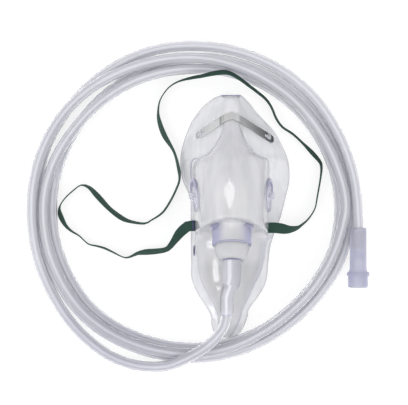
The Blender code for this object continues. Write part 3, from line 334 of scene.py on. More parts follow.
def smooth_route(points, step):
    """Points about a step apart on a smooth curve through the given ones."""
    route = []
    last = len(points) - 1
    for index in range(last):
        rows = [points[min(max(index + move, 0), last)] for move in (-1, 0, 1, 2)]
        length = math.dist(rows[1][:3], rows[2][:3])
        count = max(1, round(length / step))
        for part in range(count):
            route.append([smooth_value(*values, part / count) for values in zip(*rows)])
    route.append(list(points[-1]))
    return route


def between_knots(knots, angle):
    """The tubing's smooth distance and height at an angle."""
    last = len(knots) - 2
    index = 0
    while index < last and knots[index + 1][0] < angle:
        index += 1
    first, second = knots[index], knots[index + 1]
    before = knots[max(index - 1, 0)]
    after = knots[min(index + 2, len(knots) - 1)]
    span = second[0] - first[0]
    share = (angle - first[0]) / span
    values = []
    for item in (1, 2):
        slope_in = (second[item] - before[item]) / (second[0] - before[0]) * span
        slope_out = (after[item] - first[item]) / (after[0] - first[0]) * span
        square, cube = share ** 2, share ** 3
        values.append(
            first[item] * (2 * cube - 3 * square + 1)
            + slope_in * (cube - 2 * square + share)
            + second[item] * (3 * square - 2 * cube)
            + slope_out * (cube - square)
        )
    return values


def place_along(start, direction):
    """A matrix that carries the origin to start and +Z to direction."""
    turn = direction.to_track_quat("Z", "Y").to_matrix().to_4x4()
    return Matrix.Translation(start) @ turn


def placed(matrix):
    return lambda x, y, z: matrix @ Vector((x, y, z))


def collar_frame():
    direction = Vector((0, -math.cos(COLLAR_TILT), math.sin(COLLAR_TILT)))
    return place_along(COLLAR_START, direction)


def cuff_frame(distance):
    """The cuff's axis: straight on the nipple, then drooping with a sway."""
    point = collar_frame() @ Vector((0, 0, CUFF_START * MM))
    steps = 40
    heading = Vector((0, -math.cos(COLLAR_TILT), math.sin(COLLAR_TILT)))
    for step in range(steps):
        middle = distance * (step + 0.5) / steps
        bent = max(0.0, middle - CUFF_STRAIGHT * MM) / (CUFF_BEND * MM)
        pitch = COLLAR_TILT + (CUFF_DROOP - COLLAR_TILT) * bent
        veer = CUFF_SWAY * math.sin(math.pi * min(1.0, bent / CUFF_SWAY_SHARE))
        heading = Vector((
            math.sin(veer) * math.cos(pitch), -math.cos(veer) * math.cos(pitch), math.sin(pitch)
        ))
        point = point + heading * (distance / steps)
    return place_along(point, heading)


def vent_frames():
    for place, normal in VENT_PLACES:
        yield place_along(Vector(place) * MM, Vector(normal).normalized())


def tube_path():
    knots = list(LEAD)
    for turn, points in enumerate((TURN_1, TURN_2, TURN_3, TURN_4, TUBE_END)):
        for angle, distance, *height in points:
            knots.append((angle + 360 * turn, distance, *(height or [TUBE_REST])))
    path = [cuff_frame(distance * MM).translation for distance in TUBE_IN_CUFF]
    angle = knots[0][0]
    while angle < knots[-1][0]:
        distance, height = between_knots(knots, angle)
        turn = math.radians(angle)
        x = COIL_X + distance * MM * math.cos(turn)
        y = COIL_Y - distance * MM * math.sin(turn)
        path.append(Vector((x, y, height * MM)))
        angle += LEAD_STEP if angle < LEAD_LAST else TURN_STEP
    return path


def swept_frames(path):
    """A steady (point, side, up) frame at each point of a path."""
    frames = []
    side = None
    for index, point in enumerate(path):
        along = (path[min(index + 1, len(path) - 1)] - path[max(index - 1, 0)]).normalized()
        if side is None:
            side = along.cross(Vector((0, 0, 1))).normalized()
        side = (side - along * side.dot(along)).normalized()
        frames.append((point, side, side.cross(along).normalized()))
    return frames


def ring_faces(rings, sides, start=0):
    """The faces between rings of corners, of which the first corner is numbered start."""
    faces = []
    for ring in range(rings - 1):
        for step in range(sides):
            a = start + ring * sides + step
            b = start + ring * sides + (step + 1) % sides
            faces.append((a, b, b + sides, a + sides))
    return faces


def end_faces(rings, sides):
    """The faces that close the first and the last ring."""
    return [tuple(range(sides))[::-1], tuple(range((rings - 1) * sides, rings * sides))]


def tubing_mesh(path):
    """Tubing with a ribbed bore, closed at its ends by rings."""
    sides = TUBE_SIDES
    verts = []
    across = []
    for wall in (0, 1):
        for point, side, up in swept_frames(path):
            level = up.cross(side).cross(Vector((0, 0, 1))).normalized()
            for step in range(sides):
                angle = 2 * math.pi * step / sides
                bore = TUBE_BORE * (1 + BORE_RIB_SHARE * math.cos(BORE_RIBS * angle))
                out = side * math.cos(angle) + up * math.sin(angle)
                verts.append(point + out * (TUBE_RADIUS if wall == 0 else bore))
                across.append(out.dot(level))
    inner = len(path) * sides
    last = inner - sides
    faces = ring_faces(len(path), sides)
    faces += [face[::-1] for face in ring_faces(len(path), sides, inner)]
    for step in range(sides):
        ahead = (step + 1) % sides
        faces.append((inner + step, inner + ahead, ahead, step))
        faces.append((last + step, last + ahead, inner + last + ahead, inner + last + step))
    mesh = new_mesh("tubing", verts, faces)
    store_values(mesh, "across", across)
    return mesh


def rounded(profile, reach, closed):
    """The profile with each corner cut twice, as a moulded edge is."""
    points = []
    count = len(profile)
    for index, (radius, height) in enumerate(profile):
        here = Vector((radius, height))
        if not closed and index in (0, count - 1):
            points.append(here)
            continue
        before = Vector(profile[index - 1])
        after = Vector(profile[(index + 1) % count])
        to_before = before - here
        to_after = after - here
        cut = min(reach, 0.4 * to_before.length, 0.4 * to_after.length)
        first = here + to_before.normalized() * cut
        last = here + to_after.normalized() * cut
        for share in (0.0, 0.33, 0.67, 1.0):
            points.append(
                first * (1 - share) ** 2 + here * 2 * share * (1 - share) + last * share ** 2
            )
    return [(point.x, point.y) for point in points]


def moulded(outline, corner, closed):
    """An outline in millimetres as a profile in metres with its corners rounded."""
    profile = [(radius * MM, height * MM) for radius, height in outline]
    return rounded(profile, corner * MM, closed)


def turned(name, profile, closed, steps, place):
    """A closed profile, or one that starts and ends on the axis, turned about Z.

    place takes (x, y, height) and returns the point in the row frame."""
    verts = []
    faces = []
    rings = []
    for radius, height in profile:
        if radius < 1e-7:
            rings.append([len(verts)])
            verts.append(place(0.0, 0.0, height))
            continue
        ring = []
        for step in range(steps):
            angle = 2 * math.pi * step / steps
            ring.append(len(verts))
            verts.append(place(radius * math.cos(angle), radius * math.sin(angle), height))
        rings.append(ring)
    pairs = list(zip(rings, rings[1:]))
    if closed:
        pairs.append((rings[-1], rings[0]))
    for ring, following in pairs:
        for step in range(steps):
            ahead = (step + 1) % steps
            if len(ring) == 1:
                faces.append((ring[0], following[step], following[ahead]))
            elif len(following) == 1:
                faces.append((ring[step], following[0], ring[ahead]))
            else:
                faces.append((ring[step], following[step], following[ahead], ring[ahead]))
    mesh = new_mesh(name, verts, faces)
    tidy = bmesh.new()
    tidy.from_mesh(mesh)
    bmesh.ops.recalc_face_normals(tidy, faces=tidy.faces)
    tidy.to_mesh(mesh)
    tidy.free()
    mesh.shade_smooth()
    return mesh


def ring_turns(sides):
    """How far across a round piece each corner of a ring lies, from -1 to 1."""
    return [math.cos(2 * math.pi * step / sides) for step in range(sides)]


def apply_modifiers(obj):
    bpy.context.view_layer.update()
    graph = bpy.context.evaluated_depsgraph_get()
    mesh = bpy.data.meshes.new_from_object(obj.evaluated_get(graph))
    obj.modifiers.clear()
    obj.data = mesh


def tool_object(name, meshes):
    joined = bmesh.new()
    for mesh in meshes:
        joined.from_mesh(mesh)
    data = bpy.data.meshes.new(name)
    joined.to_mesh(data)
    joined.free()
    return new_object(name, data)


def node_material(name):
    material = bpy.data.materials.new(name)
    material.use_nodes = True
    tree = material.node_tree
    return material, tree, tree.nodes["Principled BSDF"]


def object_place(tree):
    """A point's place on its piece, which is also its place in the row frame."""
    return tree.nodes.new("ShaderNodeTexCoord").outputs["Object"]


def object_axes(tree):
    """The same place as its parts X, Y and Z."""
    axes = tree.nodes.new("ShaderNodeSeparateXYZ")
    tree.links.new(object_place(tree), axes.inputs["Vector"])
    return axes.outputs


def read_values(tree, name):
    """The numbers that store_values kept; 0 where a mesh has none."""
    node = tree.nodes.new("ShaderNodeAttribute")
    node.attribute_name = name
    return node.outputs["Fac"]


def noise_value(tree, vector, scale, detail):
    noise = tree.nodes.new("ShaderNodeTexNoise")
    noise.inputs["Scale"].default_value = scale
    noise.inputs["Detail"].default_value = detail
    tree.links.new(vector, noise.inputs["Vector"])
    return noise.outputs["Fac"]


def add_bump(tree, shader, height, strength, distance):
    bump = tree.nodes.new("ShaderNodeBump")
    bump.inputs["Strength"].default_value = strength
    bump.inputs["Distance"].default_value = distance
    tree.links.new(height, bump.inputs["Height"])
    tree.links.new(bump.outputs["Normal"], shader.inputs["Normal"])


def ramp_colour(tree, value, marks):
    """The colour that a ramp with these marks gives a value from 0 to 1."""
    node = tree.nodes.new("ShaderNodeValToRGB")
    elements = node.color_ramp.elements
    while len(elements) < len(marks):
        elements.new(1.0)
    for element, (place, shade) in zip(elements, marks):
        element.position = place
        element.color = (*(shade if isinstance(shade, tuple) else (shade,) * 3), 1.0)
    tree.links.new(value, node.inputs["Fac"])
    return node.outputs["Color"]


def map_range(tree, value, low, high, start=0.0, end=1.0):
    """Carries a value from low and high to start and end, and keeps it between them."""
    span = tree.nodes.new("ShaderNodeMapRange")
    for name, number in (("From Min", low), ("From Max", high), ("To Min", start), ("To Max", end)):
        span.inputs[name].default_value = number
    tree.links.new(value, span.inputs["Value"])
    return span.outputs["Result"]


def math_node(tree, operation, first, second):
    node = tree.nodes.new("ShaderNodeMath")
    node.operation = operation
    tree.links.new(first, node.inputs[0])
    tree.links.new(second, node.inputs[1])
    return node.outputs[0]


def tint_by(tree, shader, value, low, high, marks):
    """Multiplies the shader's colour by a ramp over a value between low and high."""
    mix = tree.nodes.new("ShaderNodeMix")
    mix.data_type = "RGBA"
    mix.blend_type = "MULTIPLY"
    mix.inputs[0].default_value = 1.0
    before = shader.inputs["Base Color"].links[0].from_socket
    shade = ramp_colour(tree, map_range(tree, value, low, high), marks)
    tree.links.new(before, mix.inputs[6])
    tree.links.new(shade, mix.inputs[7])
    tree.links.new(mix.outputs[2], shader.inputs["Base Color"])


def lined_plastic(material, shades, clearness):
    """Paints lines along a clear piece, a painted highlight and painted shade, each more or less
    clear.
    """
    tree = material.node_tree
    shader = tree.nodes["Principled BSDF"]
    across = read_values(tree, "across")
    marks = [(place, tuple(tint * shade for tint in LINE_TINT)) for place, shade in shades]
    tint_by(tree, shader, across, -1.0, 1.0, marks)
    clear = ramp_colour(tree, map_range(tree, across, -1.0, 1.0), clearness)
    tree.links.new(clear, shader.inputs["Transmission Weight"])
    return material


def clear_plastic(
    name, colour, roughness, clear, coat, depth_colour, density, streaks=(120.0, 120.0, 0.05),
):
    """A milky clear plastic: part see-through, softly glossy, deeper where it is thick.

    The streaks are (scale across, scale along, strength) of its faint moulding marks."""
    material, tree, shader = node_material(name)
    for socket, value in (
        ("Roughness", roughness), ("IOR", 1.1), ("Transmission Weight", clear),
        ("Coat Weight", coat), ("Coat Roughness", 0.04),
    ):
        shader.inputs[socket].default_value = value
    across, along, strength = streaks
    stretch = tree.nodes.new("ShaderNodeMapping")
    stretch.inputs["Scale"].default_value = (across, along, across)
    tree.links.new(object_place(tree), stretch.inputs["Vector"])
    noise = noise_value(tree, stretch.outputs["Vector"], 1.0, 2.0)
    darker = tuple(value * (1 - strength) for value in colour)
    shade = ramp_colour(tree, noise, ((0.35, darker), (0.65, colour)))
    tree.links.new(shade, shader.inputs["Base Color"])
    add_bump(tree, shader, noise, 0.15, 0.0005)
    volume = tree.nodes.new("ShaderNodeVolumeAbsorption")
    volume.inputs["Color"].default_value = (*depth_colour, 1.0)
    volume.inputs["Density"].default_value = density
    tree.links.new(volume.outputs["Volume"], tree.nodes["Material Output"].inputs["Volume"])
    return material


def shell_look():
    """The moulding: lighter low down at its flange, darker with painted shade at its crown and
    chin.
    """
    material = clear_plastic(
        "clear_soft_plastic", (0.985, 0.985, 0.995), 0.25, 0.65, 1.0, (0.25, 0.25, 0.75), 42.0,
        (240.0, 24.0, 0.08),
    )
    tree = material.node_tree
    shader = tree.nodes["Principled BSDF"]
    axes = object_axes(tree)
    # Painted shade: darker with height and on the raised chin, for the dark hollow under the
    # moulding.
    chin = map_range(tree, axes["Y"], 0.0, -30.0 * MM, 0.0, 0.9)
    raised = map_range(tree, axes["Z"], 2.0 * MM, 8.0 * MM)
    height = map_range(tree, axes["Z"], 0.0, 46.0 * MM)
    depth = math_node(tree, "ADD", height, math_node(tree, "MULTIPLY", chin, raised))
    tint_by(tree, shader, depth, 0.0, 1.25, SHELL_PAINTED_DEPTH_SHADE)
    # Painted shade along the chin's root creases, only low on the chin.
    low = map_range(tree, axes["Y"], -6.0 * MM, -16.0 * MM)
    share = read_values(tree, "share")
    tint_by(tree, shader, math_node(tree, "MULTIPLY", share, low), -1.0, 1.0, CHIN_ROOT_PAINTED_SHADE)
    # Painted shade along the rim's edge.
    tint_by(tree, shader, share, -1.0, 1.0, RIM_EDGE_PAINTED_SHADE)
    # The streaks and the ridge's shade fan out from a point beyond the clip, 2.4 mm left of X = 0.
    from_clip = map_range(tree, axes["Y"], -80.0 * MM, 70.0 * MM, 150.0 * MM, 0.0)
    from_middle = map_range(tree, axes["X"], -1.0024, 0.9976, -1.0, 1.0)
    turn = math_node(tree, "ARCTAN2", from_middle, from_clip)
    fan = tree.nodes.new("ShaderNodeTexNoise")
    fan.noise_dimensions = "1D"
    fan.inputs["Scale"].default_value = 14.0
    fan.inputs["Detail"].default_value = 2.0
    tree.links.new(turn, fan.inputs["W"])
    tint_by(tree, shader, fan.outputs["Fac"], 0.0, 1.0, FAN_SHADES)
    wedge = map_range(tree, math_node(tree, "MULTIPLY", turn, turn), 0.12, 0.02)
    near = map_range(tree, from_clip, 55.0 * MM, 30.0 * MM)
    below = map_range(tree, from_clip, 10.0 * MM, 13.0 * MM)
    ridge = math_node(tree, "MULTIPLY", wedge, math_node(tree, "MULTIPLY", near, below))
    tint_by(tree, shader, ridge, 0.0, 1.0, RIDGE_SHADES)
    return material


def collar_look():
    """Thick clear plastic, its violet deepened by painted shade at the sides of the collar."""
    material = clear_plastic(
        "clear_thick_plastic", (1.0, 1.0, 1.0), 0.4, 0.75, 0.4, (0.25, 0.25, 0.8), 14.0,
    )
    tree = material.node_tree
    shader = tree.nodes["Principled BSDF"]
    tint_by(tree, shader, read_values(tree, "across"), -1.0, 1.0, COLLAR_SIDE_PAINTED_SHADE)
    return material


def vent_look():
    return clear_plastic(
        "clear_ring_plastic", (0.95, 0.95, 0.98), 0.4, 0.8, 0.4, (0.2, 0.2, 0.8), 45.0,
    )


def edge_look(name, colour):
    """The same plastic where it is seen along its thickness: deep violet, its tint with painted
    shade.
    """
    return clear_plastic(name, colour, 0.3, 0.25, 0.3, (0.3, 0.3, 0.7), 20.0)


def tubing_look():
    """Clear tubing with a ribbed bore, and lines along it: a painted highlight and painted shade.

    It has painted shade at the coil's near left, where its strands lie closest together."""
    material = clear_plastic(
        "tubing_plastic", (1.0, 1.0, 1.0), 0.25, 0.6, 0.4, (0.4, 0.4, 0.7), 5.0,
        (60.0, 60.0, 0.03),
    )
    tree = material.node_tree
    shader = tree.nodes["Principled BSDF"]
    axes = object_axes(tree)
    left = map_range(tree, axes["X"], 0.0, -60.0 * MM)
    near = map_range(tree, axes["Y"], -20.0 * MM, -70.0 * MM)
    tint_by(tree, shader, math_node(tree, "MULTIPLY", left, near), 0.0, 1.0, NEAR_LEFT_PAINTED_SHADE)
    return lined_plastic(material, TUBE_HIGHLIGHT_AND_SHADE, TUBE_CLEAR)


def frosted_look():
    return clear_plastic(
        "frosted_plastic", (0.89, 0.89, 0.90), 0.45, 0.65, 0.15, (0.4, 0.4, 0.6), 20.0,
        (200.0, 200.0, 0.04),
    )


def cuff_look():
    # The cuff: clear plastic with a painted highlight and painted shade in lines.
    material = clear_plastic(
        "clear_bluish_plastic", (1.0, 1.0, 1.0), 0.2, 0.8, 0.4, (0.3, 0.3, 0.7), 25.0,
        (120.0, 60.0, 0.04),
    )
    return lined_plastic(material, CUFF_HIGHLIGHT_AND_SHADE, CUFF_CLEAR)


def connector_look():
    return clear_plastic(
        "bluish_soft_plastic", (0.84, 0.84, 0.88), 0.5, 0.75, 0.1, (0.25, 0.27, 0.62), 120.0,
        (120.0, 60.0, 0.05),
    )


def elastic():
    """Dark green elastic, rough with the grain of its weave."""
    material, tree, shader = node_material("green_elastic")
    shader.inputs["Base Color"].default_value = (0.02, 0.06, 0.045, 1.0)
    shader.inputs["Roughness"].default_value = 0.85
    add_bump(tree, shader, noise_value(tree, object_place(tree), 2500.0, 3.0), 0.6, 0.0003)
    return material


def metal():
    """Soft aluminium with a painted reflection, darker towards its right end, and painted shade at
    a fold.
    """
    material, tree, shader = node_material("soft_aluminium")
    shader.inputs["Metallic"].default_value = 0.85
    shader.inputs["Roughness"].default_value = 0.36
    along = map_range(tree, object_axes(tree)["X"], -CLIP_REACH, CLIP_REACH)
    tree.links.new(ramp_colour(tree, along, CLIP_PAINTED_REFLECTION), shader.inputs["Base Color"])
    add_bump(tree, shader, noise_value(tree, object_place(tree), 900.0, 3.0), 0.2, 0.0002)
    return material


def use_material(name, material):
    """Shows a CAD node in its own shape with this material."""
    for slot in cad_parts[name].material_slots:
        slot.link = "OBJECT"
        slot.material = material


def finish_piece(obj, look, node=None, sharp=38):
    """Gives a piece its look and hides its CAD node; its edges stay sharp above an angle in
    degrees, or none does.
    """
    obj.data.materials.clear()
    obj.data.materials.append(look)
    obj.data.shade_smooth()
    if sharp:
        obj.data.set_sharp_from_angle(angle=math.radians(sharp))
    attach(obj, "root")
    if node:
        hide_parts(node)


def build_tube():
    path = tube_path()
    tube = new_object("tubing", tubing_mesh(path))
    finish_piece(tube, tubing_look(), "oxygen_tube", None)
    length = sum((b - a).length for a, b in zip(path, path[1:]))
    tuple(path[0])
    [tuple(point) for point in path]


def build_strap():
    points = [(x * MM, y * MM, z * MM, math.radians(lean)) for x, y, z, lean in STRAP_ROUTE]
    route = smooth_route(points, 2.0 * MM)
    # The corners of its section, as shares of its width and its thickness.
    lower = [(-0.5, -0.3), (-0.42, -0.5), (0.0, -0.5), (0.42, -0.5), (0.5, -0.3)]
    corners = lower + [(-a, -n) for a, n in lower]
    verts = []
    for index, (x, y, z, lean) in enumerate(route):
        before = Vector(route[max(index - 1, 0)][:3])
        after = Vector(route[min(index + 1, len(route) - 1)][:3])
        along = (after - before).normalized()
        level = Vector((along.y, -along.x, 0.0)).normalized()
        across = Quaternion(along, lean) @ (along.cross(level) * -1.0)
        normal = along.cross(across)
        for a, n in corners:
            point = Vector((x, y, z)) + across * a * STRAP_WIDTH + normal * n * STRAP_THICKNESS
            verts.append(point)
    faces = ring_faces(len(route), len(corners)) + end_faces(len(route), len(corners))
    strap = new_object("strap", new_mesh("strap", verts, faces))
    finish_piece(strap, elastic(), "elastic_strap", None)
    path = [tuple(point[:3]) for point in route]
    length = sum(math.dist(a, b) for a, b in zip(path, path[1:]))
    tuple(path[0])


def section_at(place):
    """The moulding's section at a place counted in rows of SECTIONS, in metres."""
    last = len(SECTIONS) - 1
    first = min(int(place), last - 1)
    share = place - first
    rows = [SECTIONS[min(max(first + step, 0), last)] for step in (-1, 0, 1, 2)]
    *lengths, fullness = [smooth_value(*values, share) for values in zip(*rows)]
    section = [value * MM for value in lengths] + [fullness]
    section[8] = max(section[8], RIM_LOWEST)
    return section


def shell_point(section, place, share):
    """A point on the outer surface; share runs from -1, the left rim, over 0 to 1."""
    crown_y, root_y, rim_y, rim_left, root_left, crown_x, root_right, rim_right = section[:8]
    rim_z, root_z, crown_z, fullness = section[8:]
    side = -1.0 if share < 0 else 1.0
    rim_x = rim_left if share < 0 else rim_right
    root_x = root_left if share < 0 else root_right
    lip_x = rim_x - side * RIM_LIP
    fade = max(0.0, 1.0 - place / LIP_FADE_ROWS)
    lip_z = rim_z + (root_z - rim_z) * fade * RIM_LIP / abs(rim_x - root_x)
    reach = abs(share)
    if reach >= RIM_SHARE:
        part = (1.0 - reach) / (1.0 - RIM_SHARE)
        return Vector((rim_x + (lip_x - rim_x) * part, rim_y, rim_z + (lip_z - rim_z) * part))
    if reach >= ROOT_SHARE:
        part = (RIM_SHARE - reach) / (RIM_SHARE - ROOT_SHARE)
        x = lip_x + (root_x - lip_x) * part
        y = rim_y + (root_y - rim_y) * part
        return Vector((x, y, lip_z + (root_z - lip_z) * part))
    angle = (1.0 - reach / ROOT_SHARE) * math.pi / 2
    out = max(math.cos(angle), 0.0) ** (2 / max(fullness, 2.0))
    high = math.sin(angle) ** (2 / fullness)
    x = crown_x + (root_x - crown_x) * out
    y = crown_y + (root_y - crown_y) * out ** BOW_POWER
    return Vector((x, y, root_z + (crown_z - root_z) * high))


def skin_shares():
    side = [1.0, 0.5 + RIM_SHARE / 2]
    side += [
        RIM_SHARE + (ROOT_SHARE - RIM_SHARE) * step / FLANK_STEPS for step in range(FLANK_STEPS)
    ]
    side += [ROOT_SHARE * (1 - step / ARCH_STEPS) for step in range(ARCH_STEPS)]
    return [-share for share in side] + [0.0] + side[::-1]


def near_axis(point, matrix, radius, reach):
    """True if the point is within a round opening's radius and its reach along the axis."""
    place = matrix.inverted() @ point
    return math.hypot(place.x, place.y) < radius * MM and abs(place.z) < reach * MM


def skin_opening(point):
    """True where the moulding is open or where a collar or vent disc takes its place."""
    if near_axis(point, collar_frame(), *COLLAR_OPENING):
        return True
    if any(near_axis(point, matrix, *VENT_OPENING) for matrix in vent_frames()):
        return True
    for slot in SLOT_PLACES:
        if all(abs(a - b * MM) < reach * MM for a, b, reach in zip(point, slot, SLOT_REACH)):
            return True
    return False


def build_skin(look):
    """The moulding: a fine surface with a wall."""
    shares = skin_shares()
    verts = []
    rows = (len(SECTIONS) - 1) * SUB_ROWS + 1
    for row in range(rows):
        place = row / SUB_ROWS
        section = section_at(place)
        verts += [shell_point(section, place, share) for share in shares]
    faces = []
    width = len(shares)
    for row in range(rows - 1):
        for column in range(width - 1):
            a = row * width + column
            face = (a, a + width, a + width + 1, a + 1)
            centre = sum((verts[corner] for corner in face), Vector()) / 4
            if not skin_opening(centre):
                faces.append(face)
    mesh = new_mesh("mask_skin", verts, faces)
    store_values(mesh, "share", shares * rows)
    skin = new_object("mask_skin", mesh)
    solid = skin.modifiers.new("wall", "SOLIDIFY")
    solid.thickness = WALL
    solid.offset = -1.0
    solid.use_even_offset = True
    apply_modifiers(skin)
    for vertex in skin.data.vertices:
        vertex.co.z = max(vertex.co.z, 0.0)
    finish_piece(skin, look, "mask_shell")


def build_collar(look):
    outline = (
        (COLLAR_RADIUS, COLLAR_LENGTH), (COLLAR_RADIUS, 2.0), (12.0, 0.9), (12.8, 0.3),
        (12.8, -0.5), (COLLAR_RADIUS, -1.6), (COLLAR_BORE, -1.6), (COLLAR_BORE, COLLAR_LENGTH),
    )
    profile = moulded(outline, 0.5, True)
    mesh = turned("collar", profile, True, COLLAR_SIDES, placed(collar_frame()))
    store_values(mesh, "across", ring_turns(COLLAR_SIDES) * len(profile))
    finish_piece(new_object("collar", mesh), look)


def build_vents(look):
    """Both vent discs, each with a stud at its middle and a ring of holes."""
    outline = (
        (0.0, 3.6), (1.8, 3.6), (1.8, 2.4), (1.1, 2.4), (1.1, 0.3), (8.3, 0.3), (8.5, 0.9),
        (9.8, 0.9), (9.8, -1.5), (8.5, -1.5), (8.3, -0.9), (0.0, -0.9),
    )
    radius = VENT_HOLE_RADIUS * MM
    hole = [(0.0, 3.0 * MM), (radius, 3.0 * MM), (radius, -3.5 * MM), (0.0, -3.5 * MM)]
    for name, matrix in zip(("vent_left", "vent_right"), vent_frames()):
        mesh = turned(name, moulded(outline, 0.25, False), False, 64, placed(matrix))
        vent = new_object(name, mesh)
        cuts = []
        for step in range(VENT_HOLES):
            angle = math.radians(360 / VENT_HOLES * step)
            shift = Vector((math.cos(angle), math.sin(angle), 0.0)) * VENT_HOLE_REACH * MM
            place = placed(matrix @ Matrix.Translation(shift))
            cuts.append(turned("hole", hole, False, 20, place))
        tool = tool_object("holes", cuts)
        cut = vent.modifiers.new("holes", "BOOLEAN")
        cut.operation = "DIFFERENCE"
        cut.solver = "EXACT"
        cut.object = tool
        apply_modifiers(vent)
        bpy.data.objects.remove(tool, do_unlink=True)
        finish_piece(vent, look, sharp=30)


def build_rivets(look):
    """Both rivets of the nose clip: a post through its slot under a round, dished head."""
    outline = (
        (0.0, 1.0), (0.7, 1.0), (1.1, 1.45), (1.7, 1.3), (1.75, 0.7), (0.8, 0.65), (0.8, -1.3),
        (0.0, -1.3),
    )
    for name, place, normal in RIVET_PLACES:
        matrix = place_along(Vector(place) * MM, Vector(normal).normalized())
        mesh = turned(name, moulded(outline, 0.2, False), False, 40, placed(matrix))
        finish_piece(new_object(name, mesh), look)


def build_nose_lip(look):
    """The moulding's squared-off end over the nose, a thicker upright lip."""
    block = bmesh.new()
    bmesh.ops.create_cube(block, size=1.0)
    bmesh.ops.scale(block, vec=Vector(NOSE_LIP_SIZE) * MM, verts=block.verts)
    bmesh.ops.translate(block, vec=Vector(NOSE_LIP_PLACE) * MM, verts=block.verts)
    mesh = bpy.data.meshes.new("nose_lip")
    block.to_mesh(mesh)
    block.free()
    lip = new_object("nose_lip", mesh)
    bevel = lip.modifiers.new("soft_edges", "BEVEL")
    bevel.width = 0.35 * MM
    bevel.segments = 3
    apply_modifiers(lip)
    finish_piece(lip, look)


def swept_bead(name, points, radius, look):
    """A round bead along a path, thinner towards its ends."""
    verts = []
    last = len(points) - 1
    for index, (point, side, up) in enumerate(swept_frames(points)):
        swell = math.sin(math.pi * index / last) ** BEAD_SWELL
        reach = radius * (BEAD_TIP + (1 - BEAD_TIP) * swell)
        for step in range(BEAD_SIDES):
            angle = 2 * math.pi * step / BEAD_SIDES
            verts.append(point + (side * math.cos(angle) + up * math.sin(angle)) * reach)
    faces = ring_faces(len(points), BEAD_SIDES) + end_faces(len(points), BEAD_SIDES)
    finish_piece(new_object(name, new_mesh(name, verts, faces)), look, None, 60)


def build_edges(look, pale, dark):
    """Thick moulded edges of the collar, the cuff, the dome's left flank and the vents, violet with
    painted shade.
    """

    def line(points):
        return [Vector(point) * MM for point in points]

    def arc(matrix, radius, height, low, high, steps):
        turns = [math.radians(low + (high - low) * step / steps) for step in range(steps + 1)]
        return [
            matrix @ (Vector((radius * math.cos(turn), radius * math.sin(turn), height)) * MM)
            for turn in turns
        ]

    # Painted shade in the strap slot, with the strap's end in it, drawn as a dark bead.
    slot = line(straight((-24.9, -1.9, 9.9), (-24.9, -8.5, 9.9), 10))
    fold = line(straight((-24.5, -17.0, 2.4), (-24.5, -23.4, 2.4), 10))
    swept_bead("slot_shade_and_strap_end", slot, 0.55 * MM, dark)
    swept_bead("flange_fold", fold, 0.5 * MM, dark)
    swept_bead("flank_line", line(smooth_route(FLANK_LINE, 0.6)), 0.3 * MM, pale)
    collar = collar_frame()
    rim = arc(collar, COLLAR_RADIUS - 0.35, COLLAR_LENGTH - 0.4, 8, 172, 48)
    swept_bead("collar_rim", rim, 0.55 * MM, pale)
    # Painted shade in the corners where the collar meets the moulding.
    for name, low, high in (("collar_root_right", -20, 50), ("collar_root_left", 130, 200)):
        swept_bead(name, arc(collar, COLLAR_RADIUS, 1.6, low, high, 20), 1.4 * MM, look)
    mouth = arc(cuff_frame(0.0), 5.8, 0.2, 15, 165, 32)
    swept_bead("cuff_rim", mouth, 0.5 * MM, look)
    end = arc(cuff_frame(CUFF_LENGTH * MM), 4.2, -0.2, 15, 165, 32)
    swept_bead("cuff_end", end, 0.3 * MM, pale)
    left, right = vent_frames()
    swept_bead("vent_rim_left", arc(left, 9.2, 0.6, 260, 100, 24), 1.05 * MM, pale)
    swept_bead("vent_rim_right", arc(right, 9.2, 0.6, -80, 80, 24), 1.05 * MM, pale)


def build_adapter():
    mouth = COLLAR_LENGTH + 0.3
    outline = (
        (2.9, mouth + 16.8), (2.9, mouth + 8.8), (7.0, mouth + 8.8), (8.6, mouth + 7.2),
        (9.75, mouth + 4.6), (10.2, mouth + 1.9), (10.3, mouth + 1.7), (10.3, mouth), (9.4, mouth),
        (9.4, mouth - 13.0), (8.2, mouth - 13.0), (8.2, mouth + 1.8), (5.8, mouth + 7.6),
        (1.4, mouth + 7.6), (1.4, mouth + 16.8),
    )
    profile = moulded(outline, 0.45, True)
    adapter = new_object("adapter", turned("adapter", profile, True, 72, placed(collar_frame())))
    finish_piece(adapter, frosted_look(), "tubing_adapter", None)


def build_cuff():
    outline = straight((4.3, CUFF_LENGTH), (4.3, 16.0), 16)
    outline += [(5.0, 14.9), (5.4, 14.3)]
    outline += straight((5.5, 14.0), (5.9, 0.0), 12)
    outline += straight((3.4, 0.0), (3.4, 15.6), 16)
    outline += straight((3.6, 16.4), (3.6, CUFF_LENGTH), 14)
    frames = {}

    def place(x, y, along):
        key = round(along, 7)
        if key not in frames:
            frames[key] = cuff_frame(along)
        return frames[key] @ Vector((x, y, 0.0))

    profile = moulded(outline, 0.35, True)
    mesh = turned("cuff", profile, True, CUFF_SIDES, place)
    across = []
    for _, height in profile:
        shift = CUFF_LINE_SHIFT if height < CUFF_STEP * MM else 0.0
        across += [turn + shift for turn in ring_turns(CUFF_SIDES)]
    store_values(mesh, "across", across)
    cuff = new_object("cuff", mesh)
    finish_piece(cuff, cuff_look(), "tube_cuff", None)
    return cuff


def build_connector():
    outline = (
        (5.9, 35.3), (5.9, 28.7), (6.6, 28.4), (6.6, 26.6), (5.3, 26.1), (4.95, 24.0),
        (4.8, 0.0), (3.6, 0.0), (3.6, 13.5), (1.4, 14.5), (1.4, 16.5), (3.4, 18.5), (3.4, 35.3),
    )
    place = placed(place_along(CONNECTOR_START, CONNECTOR_AXIS))
    mesh = turned("connector", moulded(outline, 0.4, True), True, 64, place)
    connector = new_object("connector", mesh)
    finish_piece(connector, connector_look(), "supply_connector", None)
    return connector


